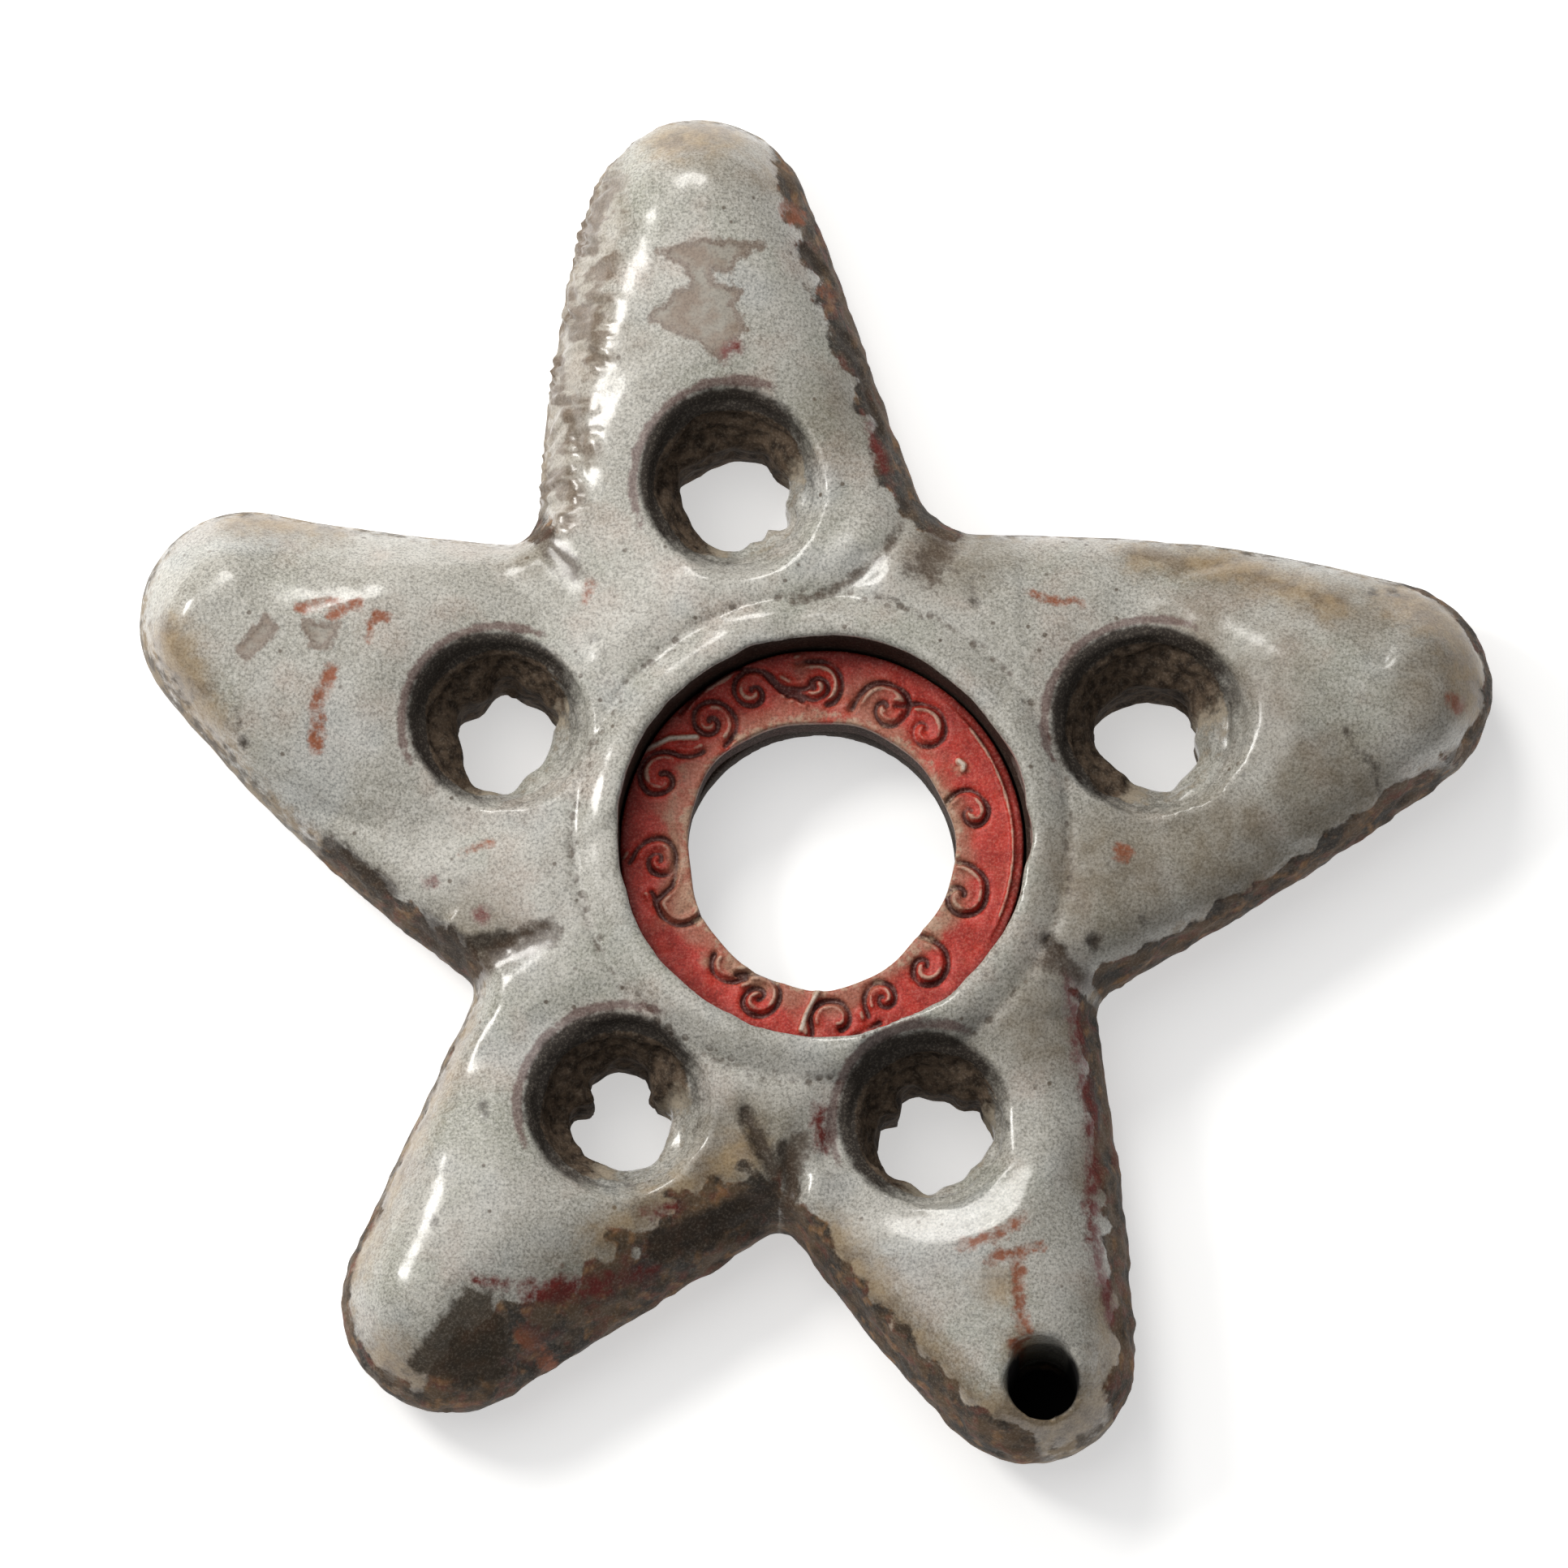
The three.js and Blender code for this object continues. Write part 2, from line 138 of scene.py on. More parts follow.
# The running scrolls: (x, y) of the eye, the spiral's outer radius, the direction from the eye in which it
# starts, the way it turns inwards (1 is counter-clockwise), its turns, and the length of its tail.
SCROLLS = [
    (-3.9, 2.0, 1.0, 315, 1, 1.5, 0.3),
    (-2.35, 3.15, 0.95, 30, 1, 1.3, 1.6),
    (0.0, 3.4, 0.6, 230, 1, 1.0, 0.7),
    (0.1, 3.3, 1.15, 120, -1, 0.5, 0.2),
    (2.6, 2.5, 1.2, 165, -1, 1.35, 0.3),
    (4.0, 1.7, 1.05, 115, -1, 1.3, 0.6),
    (5.7, -1.4, 0.95, 150, -1, 1.2, 0.3),
    (5.35, -4.5, 1.25, 95, -1, 1.2, 0.7),
    (4.0, -7.2, 1.05, 80, -1, 1.2, 0.7),
    (2.5, -8.4, 0.8, 210, -1, 1.3, 0.3),
    (0.7, -9.2, 0.9, 190, -1, 0.7, 0.4),
    (-2.2, -8.4, 1.05, 110, -1, 1.5, 0.4),
    (-3.3, -7.0, 0.8, 300, -1, 0.4, 0.3),
    (-4.8, -4.8, 1.05, 185, 1, 0.5, 0.5),
    (-5.8, -3.2, 0.95, 165, -1, 1.5, 0.4),
    (-5.7, -0.1, 1.05, 60, 1, 1.1, 1.1),
]
# Grooves that link the scrolls, and thin pale ridges, as the points of each line.
LINKS = [
    [(-5.0, 2.4), (-4.1, 3.4), (-3.0, 4.1), (-2.0, 3.9), (-1.3, 3.2), (-0.5, 2.8)],
    [(-5.1, -3.4), (-5.3, -4.2), (-5.8, -4.7)],
    [(1.3, -9.9), (2.3, -9.3)],
]
PALE_RIDGES = [
    [(0.1, -8.1), (-0.2, -8.8), (-0.6, -9.6)],
    [(-6.8, 0.1), (-6.4, 0.9), (-5.4, 1.35), (-4.4, 1.4)],
    [(5.2, 0.5), (5.4, 0.35), (5.35, 0.2)],
]
LINK_SIDE = np.array([0.35, -0.94])
SCROLL_GROOVE = {"half": 0.12, "depth": 0.18}
SCROLL_RIDGE = {"half": 0.12, "height": 0.17, "offset": 0.23}
# Places on the ring rubbed down to pale clay: (half width, points).
RUBBED = [
    (0.35, [(5.3, 0.3)]), (0.3, [(-4.1, -7.0)]), (0.4, [(-4.8, -4.4), (-5.0, -5.0)]),
    (0.3, [(3.1, 0.9), (4.3, -0.2), (5.2, -2.0)]), (0.3, [(-3.2, -7.1), (-2.0, -8.0)]),
    (0.25, [(5.0, -5.0), (4.2, -6.4)]), (0.25, [(-5.0, 0.3), (-5.4, -1.6), (-5.1, -3.6)]),
]

# ---------- Marks on the glaze: each is (half width, points of its centre line), in millimetres ----------

RUST_MARKS = [
    (0.18, [(-19.0, 5.8), (-17.8, 6.2)]),
    (0.2, [(-17.9, 5.6), (-16.9, 6.0)]),
    (0.16, [(-16.5, 4.7), (-16.3, 5.6), (-15.8, 5.4)]),
    (0.26, [(-18.4, 0.7), (-18.4, 2.1), (-17.9, 3.6)]),
    (0.12, [(-13.0, -3.2), (-12.0, -2.9)]),
    (0.14, [(-8.3, 7.0), (-8.6, 6.2)]),
    (0.14, [(7.8, 6.6), (8.7, 6.3), (9.8, 6.25)]),
    (0.22, [(5.3, -18.1), (6.7, -17.7), (7.5, -17.1)]),
    (0.2, [(6.3, -18.6), (8.2, -18.1)]),
    (0.24, [(7.4, -18.3), (7.4, -20.0), (7.6, -21.3)]),
    (0.3, [(7.3, -21.8)]),
    (0.5, [(-0.9, 21.2)]),
    (0.3, [(0.4, 18.2)]),
    (0.36, [(11.3, -3.3)]),
    (0.4, [(23.6, 2.4)]),
    (0.3, [(-10.8, -21.1), (-9.7, -22.1)]),
]
# Patches where the glaze has flaked, as closed outlines.
FLAKED_PATCHES = [
    [(-5.9, 19.3), (-4.2, 19.8), (-2.0, 19.6), (-3.0, 19.1), (-3.2, 18.5), (-3.9, 18.7), (-3.9, 18.1),
     (-2.8, 17.9), (-3.1, 17.2), (-2.6, 16.4), (-3.6, 15.3), (-4.3, 15.9), (-5.4, 16.4), (-6.3, 16.9),
     (-5.2, 17.7), (-4.6, 18.1), (-4.8, 18.8)],
    [(-18.9, 5.3), (-17.6, 5.2), (-18.0, 4.3), (-18.7, 4.4)],
    [(-21.4, 4.3), (-20.3, 5.5), (-19.9, 5.0), (-21.0, 3.9)],
]
# A patch of painted shade and painted dark reflection on the lower side of the lower left tip.
SHADE_PATCHES = [
    [(-12.8, -19.6), (-11.9, -19.8), (-11.3, -21.4), (-11.6, -22.7), (-13.6, -22.9), (-15.2, -22.4)],
]
RED_MARKS = [
    (0.16, [(-12.6, -19.3), (-11.4, -19.5)]),
    (0.38, [(-10.6, -19.7), (-9.0, -19.5), (-7.6, -19.2)]),
    (0.2, [(-7.6, -19.2), (-5.9, -18.6)]),
    (0.15, [(-6.2, -16.7), (-4.9, -16.4)]),
    (0.24, [(-14.2, -4.3)]),
    (0.3, [(-12.3, -5.6)]),
    (0.3, [(0.1, -13.0), (0.2, -14.2)]),
    (0.25, [(9.3, -7.9), (9.7, -10.9), (10.1, -12.8), (10.1, -17.5), (10.8, -20.5)]),
    (0.25, [(-3.4, 15.4), (-3.0, 15.8)]),
    (0.2, [(2.0, 13.2), (2.5, 11.4)]),
]
DARK_MARKS = [
    (0.3, [(-18.0, -2.6), (-15.7, -4.5)]),
    (0.4, [(-14.5, -5.7), (-13.0, -6.7), (-11.5, -6.6)]),
    (0.12, [(-11.0, -6.4), (-9.9, -6.1)]),
    (0.26, [(-15.7, -4.9)]),
    (0.14, [(-21.1, 1.0)]),
    (0.1, [(-21.4, 2.1), (-21.3, 1.6)]),
    (0.12, [(-8.3, 4.8)]),
    (0.14, [(-7.9, 4.2)]),
    (0.1, [(-13.1, -4.3)]),
    (0.1, [(5.8, 7.1), (5.9, 6.1)]),
    (0.05, [(19.5, 1.3), (19.9, 0.5), (20.6, 0.1), (20.7, -0.8)]),
    (0.14, [(20.6, 6.8)]),
    (0.22, [(21.3, 6.9)]),
    (0.28, [(8.5, -6.6), (8.9, -6.9)]),
    (0.3, [(10.2, -6.6)]),
    (0.14, [(12.0, -5.7)]),
    (0.12, [(14.9, -4.8)]),
    (0.3, [(-0.5, 19.8), (0.1, 19.1)]),
    (0.3, [(1.0, 16.6), (1.4, 15.9)]),
    (0.2, [(1.6, 15.3), (2.0, 14.2), (2.4, 12.9)]),
    (0.3, [(3.3, 10.1)]),
    (0.5, [(-5.8, -17.9), (-1.9, -16.1)]),
    (0.3, [(-2.6, -13.1), (-1.6, -15.1)]),
    (0.3, [(-1.2, -14.4), (-0.8, -15.9)]),
    (0.12, [(-12.2, -13.1), (-12.2, -12.7)]),
    (0.13, [(-14.0, -17.2)]),
    (0.07, [(-7.1, -14.8), (-6.8, -15.7)]),
]
TAN_SPOTS = [
    (0.7, [(-21.4, 9.7), (-17.9, 9.6)]),
    (0.9, [(-24.0, 4.8), (-22.6, 1.4)]),
    (0.7, [(12.0, 8.3), (15.5, 7.9), (18.9, 6.3)]),
    (1.3, [(22.0, 7.0), (24.4, 5.2), (24.8, 2.8)]),
    (0.8, [(-1.2, 22.6)]),
    (1.0, [(-5.4, 24.0), (-3.4, 24.6)]),
    (0.8, [(-16.0, -22.0), (-14.4, -23.2), (-12.2, -23.0)]),
    (0.9, [(6.4, -24.4), (9.4, -24.6), (11.0, -23.2), (11.4, -20.5)]),
    (0.7, [(6.7, -19.6)]),
    (0.5, [(7.5, -21.8)]),
    (0.6, [(-17.2, -18.6), (-13.2, -9.4)]),
    (0.7, [(0.6, -17.6), (5.4, -24.0)]),
    (0.6, [(-7.9, -17.7), (-2.6, -14.3)]),
]
# Broad areas made browner, darker and duller, most of them on the right and lower right: (x, y, radius,
# strength).
DARKENED_AREAS = [
    (10.8, -4.2, 4.0, 0.75), (15.0, -3.2, 3.4, 0.85), (19.0, -1.0, 3.4, 0.8), (23.0, 3.5, 3.4, 0.65),
    (8.6, -9.6, 3.2, 0.65), (10.6, -15.0, 2.4, 0.75), (11.2, -20.0, 2.2, 0.75), (-2.6, -14.2, 2.8, 0.8),
    (5.4, 8.6, 3.2, 0.7), (16.0, 2.6, 4.6, 0.45), (-12.6, -6.0, 2.4, 0.6), (-8.6, -19.4, 3.0, 0.5),
    (1.0, 13.5, 2.8, 0.5), (6.0, -11.0, 3.0, 0.4), (4.6, -24.0, 2.0, 0.5), (-10.4, 8.2, 1.6, 0.6),
    (-3.4, 23.2, 2.6, 0.45), (15.0, 7.4, 2.4, 0.55), (20.0, 6.0, 2.4, 0.6), (-7.3, 16.0, 2.0, 0.4),
    (7.6, -2.6, 2.0, 0.35), (14.0, 5.0, 2.8, 0.6), (17.0, 3.4, 2.6, 0.45), (-21.0, -0.6, 2.0, 0.3),
    (-16.5, -4.4, 1.6, 0.4),
]
# Stretches of edge where the glaze has crumbled to red-brown clay, as (first bearing, last bearing, width,
# strength). Bearings are counter-clockwise from the bore.
WORN_EDGES = [
    (-27, 8, 0.5, 1.0),
    (8, 26, 0.45, 0.7),
    (66, 94, 1.35, 0.8),
    (128, 133, 1.2, 0.7),
    (179, 201, 0.6, 0.75),
    (206, 218, 0.35, 0.5),
    (218, 236, 0.5, 0.65),
    (234, 264, 2.5, 1.0),
    (264, 290, 0.85, 0.9),
    (297, 331, 1.0, 0.95),
]
EDGE_SOFTNESS = 3.0  # degrees over which a stretch fades at its ends
RIBBED_EDGE = (106, 128, 1.9, 1.0)  # the stretch with small ribs across it
RIB_PITCH = 0.62

# ---------- Studio ----------

# Bearing and elevation in degrees, distance and size in metres, power in watts.
LIGHTS = {
    "key_left": (157, 42, 0.16, 0.044, 0.118, (1.0, 0.985, 0.95)),
    "key_above": (106, 42, 0.18, 0.06, 0.12, (1.0, 0.985, 0.95)),
    "top": (150, 66, 0.3, 0.26, 0.23, (1.0, 0.985, 0.96)),
}
LIGHT_TARGET_HEIGHT = 0.004
CAMERA_TILT = 12  # degrees from straight above
CAMERA_TARGET = (-1.2, 0.0, WIDEST)
VIEW_WIDTH = 58.0


# ---------- Numbers ----------

def polar(bearing, reach, centre=BORE_CENTRE):
    angle = math.radians(bearing)
    return np.array(centre) + reach * np.array([math.cos(angle), math.sin(angle)])


def ease(value, low, high):
    """0 below low and 1 above high, with a smooth step between."""
    t = np.clip((value - low) / (high - low), 0, 1)
    return t * t * (3 - 2 * t)


def blend_max(a, b, radius):
    """The larger of two fields, with the crease between them rounded."""
    near = np.maximum(radius - np.abs(a - b), 0)
    return np.maximum(a, b) + near * near / (4 * np.maximum(radius, 1e-6))


def bell(distance, half_width):
    """1 at no distance, and close to 0 from twice the half width."""
    return np.exp(-((distance / half_width) ** 2))


def from_centre(points, centre):
    return np.hypot(*(points - centre).T)


def noise(points, cell, seed):
    """Smooth noise from -1 to 1 at each point, with bumps about one cell across."""
    scaled = points / cell
    base = np.floor(scaled).astype(np.int64)
    t = scaled - base
    t = t * t * (3 - 2 * t)
    total = np.zeros(len(points))
    for corner in itertools.product((0, 1), repeat=points.shape[1]):
        key = np.full(len(points), seed * 7919 + 17, dtype=np.uint64)
        weight = np.ones(len(points))
        for axis, step in enumerate(corner):
            cell_index = (base[:, axis] + step).astype(np.uint64)
            key = (key ^ cell_index) * np.uint64(0x9E3779B97F4A7C15)
            key ^= key >> np.uint64(29)
            weight *= t[:, axis] if step else 1 - t[:, axis]
        key = key * np.uint64(0xBF58476D1CE4E5B9)
        total += weight * ((key >> np.uint64(40)).astype(float) / 2**23 - 1)
    return total


def line_distance(points, line):
    """The distance in plan from each point to a line of straight pieces, or to a single point."""
    line = np.array(line, float)
    if len(line) == 1:
        return from_centre(points, line[0])
    nearest = np.full(len(points), np.inf)
    for start, end in zip(line[:-1], line[1:]):
        span = end - start
        share = np.clip((points - start) @ span / (span @ span), 0, 1)
        nearest = np.minimum(nearest, np.hypot(*(points - start - share[:, None] * span).T))
    return nearest


def edge_share(plan, inside, stretch):
    """1 along a stretch of the outline and 0 away from it, from each point's distance inside the outline."""
    first, last, width, strength = stretch
    offset = plan - BORE_CENTRE
    bearing = np.degrees(np.arctan2(offset[:, 1], offset[:, 0]))
    turn = np.abs((bearing - (first + last) / 2 + 180) % 360 - 180)
    half = (last - first) / 2
    along = 1 - ease(turn, half - EDGE_SOFTNESS / 2, half + EDGE_SOFTNESS / 2)
    reach = width * (1 + 0.45 * noise(plan, 0.55, 27))
    return strength * along * (1 - ease(inside / reach, 0.5, 1.3))


def mark_distance(points, marks):
    """The distance to the edge of the nearest mark, negative inside it."""
    nearest = np.full(len(points), 9.0)
    for half_width, line in marks:
        nearest = np.minimum(nearest, line_distance(points, line) - half_width)
    return nearest


def patch_distance(points, patches):
    """The distance to the edge of the nearest closed patch, negative inside it."""
    nearest = np.full(len(points), 9.0)
    x, y = points.T
    for patch in patches:
        corners = np.array(patch, float)
        edge = line_distance(points, np.vstack([corners, corners[:1]]))
        crossings = np.zeros(len(points), dtype=int)
        for start, end in zip(corners, np.roll(corners, -1, 0)):
            spans = (start[1] > y) != (end[1] > y)
            rise = end[1] - start[1] if end[1] != start[1] else 1.0
            crossings += spans & (x < start[0] + (y - start[1]) * (end[0] - start[0]) / rise)
        nearest = np.minimum(nearest, np.where(crossings % 2 == 1, -edge, edge))
    return nearest


# ---------- The outline, from the CAD model ----------

def cad_loop(height):
    """The star's outline at one height of the CAD model: points in order round the bore."""
    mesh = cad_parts["star_body"].data
    points = np.array([vertex.co for vertex in mesh.vertices]) / MM
    level = np.unique(np.round(points[np.abs(points[:, 2] - height) < 1e-3, :2], 3), axis=0)
    offset = level - BORE_CENTRE
    outer = np.hypot(*offset.T) > SEAT_RADIUS + 2.0
    order = np.argsort(np.arctan2(*offset[outer].T[::-1]))
    return level[outer][order]


def smooth_loop(loop, steps):
    """A closed curve through the loop's points."""
    before, after, far = np.roll(loop, 1, 0), np.roll(loop, -1, 0), np.roll(loop, -2, 0)
    pieces = []
    for t in np.arange(steps) / steps:
        pieces.append(0.5 * (
            2 * loop + (after - before) * t
            + (2 * before - 5 * loop + 4 * after - far) * t**2
            + (3 * loop - before - 3 * after + far) * t**3
        ))
    return np.stack(pieces, 1).reshape(-1, 2)


class Outline:
    """The star's widest outline, with each point's bevel width and knee."""

    def __init__(self):
        self.loop = smooth_loop(cad_loop(WIDEST), 8)
        shoulder = smooth_loop(cad_loop(SHOULDER), 4)
        closed = np.vstack([shoulder, shoulder[:1]])
        self.bevel = line_distance(self.loop, closed) * self.flank_values("bevel")
        self.knee = self.flank_values("knee")
        self.tree = kdtree.KDTree(len(self.loop))
        for index, point in enumerate(self.loop):
            self.tree.insert(Vector((*point, 0)), index)
        self.tree.balance()

    def flank_values(self, key):
        """One of the arms' three values at each outline point: clockwise side, tip or other side."""
        values = np.zeros(len(self.loop))
        tips = np.array([polar(arm["bearing"], arm["reach"]) for arm in ARMS])
        reach = np.stack([line_distance(self.loop, [BORE_CENTRE, tip]) for tip in tips], 1)
        for index, arm in enumerate(ARMS):
            own = np.argmin(reach, 1) == index
            axis = tips[index] - BORE_CENTRE
            offset = self.loop - BORE_CENTRE
            side = np.sign(axis[0] * offset[:, 1] - axis[1] * offset[:, 0])
            clockwise, at_tip, other = arm[key]
            tip_share = 1 - ease(from_centre(self.loop, tips[index]), TIP_RADIUS, 1.8 * TIP_RADIUS)
            flank = np.where(side < 0, clockwise, other)
            values[own] = (flank + (at_tip - flank) * tip_share)[own]
        return values

    def measure(self, points):
        """Each point's distance inside the outline, and the bevel and knee of the nearest outline point."""
        index = np.array([self.tree.find((x, y, 0))[1] for x, y in points])
        count = len(self.loop)
        nearest = np.full(len(points), np.inf)
        for step in (-1, 0):
            start, end = self.loop[(index + step) % count], self.loop[(index + step + 1) % count]
            span = end - start
            share = np.clip(((points - start) * span).sum(1) / (span * span).sum(1), 0, 1)
            nearest = np.minimum(nearest, np.hypot(*(points - start - share[:, None] * span).T))
        along = self.loop[(index + 1) % count] - self.loop[index - 1]
        offset = points - self.loop[index]
        inside = along[:, 0] * offset[:, 1] - along[:, 1] * offset[:, 0] > 0
        return np.where(inside, nearest, -nearest), self.bevel[index], self.knee[index]


# ---------- The star body ----------

class Grid:
    """A grid of plan positions, and the heights above them."""

    def __init__(self, low, high, pitch, height_pitch):
        self.low, self.pitch, self.height_pitch = np.array(low), pitch, height_pitch
        self.x = np.arange(low[0], high[0], pitch)
        self.y = np.arange(low[1], high[1], pitch)
        self.z = np.arange(low[2], high[2], height_pitch)
        mesh = np.meshgrid(self.x, self.y, indexing="ij")
        self.plan = np.stack([axis.ravel() for axis in mesh], 1)

    def spread(self, values):
        """A plan map as a stack that broadcasts against heights."""
        return values.reshape(len(self.x), len(self.y), 1).astype(np.float32)

    def stack(self, values):
        """Values at the grid's heights as a stack that broadcasts against plan maps."""
        return values.reshape(1, 1, -1).astype(np.float32)

    def reach(self, centre):
        """The distance in plan from each grid position to a centre."""
        return self.spread(from_centre(self.plan, centre))

    def sample(self, values, points):
        """A plan map at any points, between its grid positions."""
        table = values.reshape(len(self.x), len(self.y))
        place = (points - self.low[:2]) / self.pitch
        base = np.clip(place.astype(int), 0, np.array(table.shape) - 2)
        t = place - base
        i, j = base.T
        near = table[i, j] * (1 - t[:, 0]) + table[i + 1, j] * t[:, 0]
        far = table[i, j + 1] * (1 - t[:, 0]) + table[i + 1, j + 1] * t[:, 0]
        return near * (1 - t[:, 1]) + far * t[:, 1]

    def surface(self, field):
        """The zero surface of a field, as vertices in millimetres and faces."""
        volume = openvdb.FloatGrid(background=1.0)
        volume.copyFromArray(np.ascontiguousarray(field, dtype=np.float32))
        points, triangles, quads = volume.convertToPolygons(isovalue=0.0, adaptivity=0.0)
        scale = np.array([self.pitch, self.pitch, self.height_pitch])
        faces = [tuple(face) for face in quads.tolist()] + [tuple(face) for face in triangles.tolist()]
        return points * scale + self.low, faces


def crown_height(points):
    """The height of the upper surface away from the bevels: the hub, its rim, the arms and the valleys."""
    reach = from_centre(points, SEAT_CENTRE)
    crown = HUB_TOP + 0.06 * noise(points, 4.0, 1) - HUB_FALL * np.maximum(reach - HUB_REACH, 0)
    for arm in ARMS:
        tip = polar(arm["bearing"], arm["reach"])
        dish = np.array(arm["dish"][:2])
        axis = (tip - dish) / np.hypot(*(tip - dish))
        lateral = (points - dish) @ np.array([-axis[1], axis[0]])
        outside = np.maximum(line_distance(points, [dish, tip]) - ARM_HALF, 0)
        pillow = ARM_TOP - lateral**2 / ARM_CURVE - ARM_FALL * outside
        crown = blend_max(crown, pillow, 0.2)
    for start, end, half_width, depth in VALLEYS:
        start, end = np.array(start), np.array(end)
        span = end - start
        share = np.clip((points - start) @ span / (span @ span), -1.5, 1)
        across = np.hypot(*(points - start - share[:, None] * span).T)
        wedge = np.maximum(1 - across / half_width, 0)
        crown = crown - depth * np.clip(1 - share, 0, 2) * ease(wedge, 0, 1)
    wander = np.stack([noise(points, 0.8, 17), noise(points, 0.8, 18)], 1)
    for half_width, depth, line in CREASES:
        crown = crown - depth * bell(line_distance(points + 0.2 * wander, line), half_width)
    flat = 1 - ease(reach, 9.0, 10.6)
    crown = crown + flat * (HUB_TOP - crown) * 0.6
    for arm in ARMS:
        x, y, mouth = arm["dish"]
        from_dish = from_centre(points, (x, y)) - mouth
        hollow = 1 - ease(from_dish, HOLLOW_INNER, HOLLOW_OUTER)
        crown = crown - arm["hollow"] * hollow * ease(reach, 8.4, 9.6)
    rim = RIM["height"] * (1 - ease(reach, *RIM["outer"])) * ease(reach, *RIM["inner"])
    groove = RIM_GROOVE["depth"] * bell(reach - RIM_GROOVE["reach"], RIM_GROOVE["half"])
    return crown + rim - groove


def dish_profile(mouth, heights):
    wall = DISH_WALL + [(height, mouth + offset) for height, offset in DISH_MOUTH]
    return np.interp(heights, *zip(*wall))


def teeth(arm, points):
    """How far an arm's teeth of clay reach into its hole, at each point's bearing from the hole."""
    offset = points - arm["dish"][:2]
    bearing = np.degrees(np.arctan2(offset[:, 1], offset[:, 0]))
    reach = np.zeros(len(points))
    for middle, half_width, length in arm["teeth"]:
        turn = (bearing - middle + 180) % 360 - 180
        reach += length * bell(turn, half_width)
    return reach


def body_field(grid, outline):
    """The star body's distance field, negative inside the clay."""
    inside, bevel, knee = (grid.spread(values) for values in outline.measure(grid.plan))
    crown = grid.spread(crown_height(grid.plan))
    z = grid.stack(grid.z)

    lift = np.clip((z - WIDEST) / (SHOULDER - WIDEST), 0, None)
    under = np.clip((WIDEST - z) / WIDEST, 0, 1)
    inset = bevel * lift**1.8 + UNDERSIDE_INSET * (1 - np.sqrt(np.maximum(1 - under**2, 0)))
    slope = bevel * 1.8 * lift**0.8 / (SHOULDER - WIDEST)
    side = (inset - inside) / np.sqrt(1 + slope**2)
    field = blend_max(side, z - crown, knee)
    field = blend_max(field, UNDERSIDE - z, 0.15)

    for x, y, height, radius in CHIPS:
        ball = np.sqrt(grid.reach((x, y)) ** 2 + (z - height) ** 2)
        field = blend_max(field, radius - ball, 0.12)

    chipped = 0.12 * bell(line_distance(grid.plan, CHIPPED_RIM), 1.0)
    ragged = grid.spread(0.07 * noise(grid.plan, 0.8, 24) + chipped)
    reach = grid.reach(SEAT_CENTRE)
    seat = np.maximum(reach - SEAT_RADIUS - ragged * ease(z, 4.2, 5.0), SEAT_FLOOR - z)
    field = blend_max(field, -seat, 0.16)
    flare = np.clip(1.1 - z, 0, None)
    field = blend_max(field, BORE_RADIUS + 0.08 + flare - grid.reach(BORE_CENTRE), 0.2)

    for arm in ARMS:
        x, y, mouth = arm["dish"]
        reach = grid.reach((x, y))
        radius = grid.stack(dish_profile(mouth, grid.z))
        broken = 0.22 * noise(grid.plan, 1.3, 21) + 0.16 * noise(grid.plan, 0.6, 22)
        broken = grid.spread(broken - teeth(arm, grid.plan))
        phase = 2 * np.pi * z / 0.75 + grid.spread(2.4 * noise(grid.plan, 1.5, 25))
        terraces = 0.13 * np.sin(phase) * (ease(z, 3.9, 4.3) - ease(z, 5.4, 5.8))
        field = blend_max(field, radius + broken * (1 - ease(z, 4.0, 4.7)) + terraces - reach, 0.16)
    x, y, radius = TIP_HOLE
    reach = grid.spread(from_centre(grid.plan, (x, y)) + 0.2 * noise(grid.plan, 0.9, 23))
    hole = np.minimum(radius + 0.2 * ease(z, 5.4, 6.4) - reach, z - TIP_HOLE_FLOOR)
    field = blend_max(field, hole, 0.15)
    return field


def make_object(name, points, faces, material):
    mesh = bpy.data.meshes.new(name)
    mesh.from_pydata((points * MM).tolist(), [], faces)
    mesh.update()
    mesh.shade_smooth()
    mesh.materials.append(material)
    piece = bpy.data.objects.new(name, mesh)
    bpy.context.scene.collection.objects.link(piece)
    return piece


def vertex_normals(piece):
    normals = np.empty(3 * len(piece.data.vertices), dtype=np.float32)
    piece.data.vertex_normals.foreach_get("vector", normals)
    return normals.reshape(-1, 3)


def move_vertices(piece, points):
    piece.data.vertices.foreach_set("co", (points * MM).astype(np.float32).ravel())
    piece.data.update()


def add_attribute(piece, name, values):
    attribute = piece.data.attributes.new(name, "FLOAT", "POINT")
    attribute.data.foreach_set("value", np.asarray(values, dtype=np.float32))


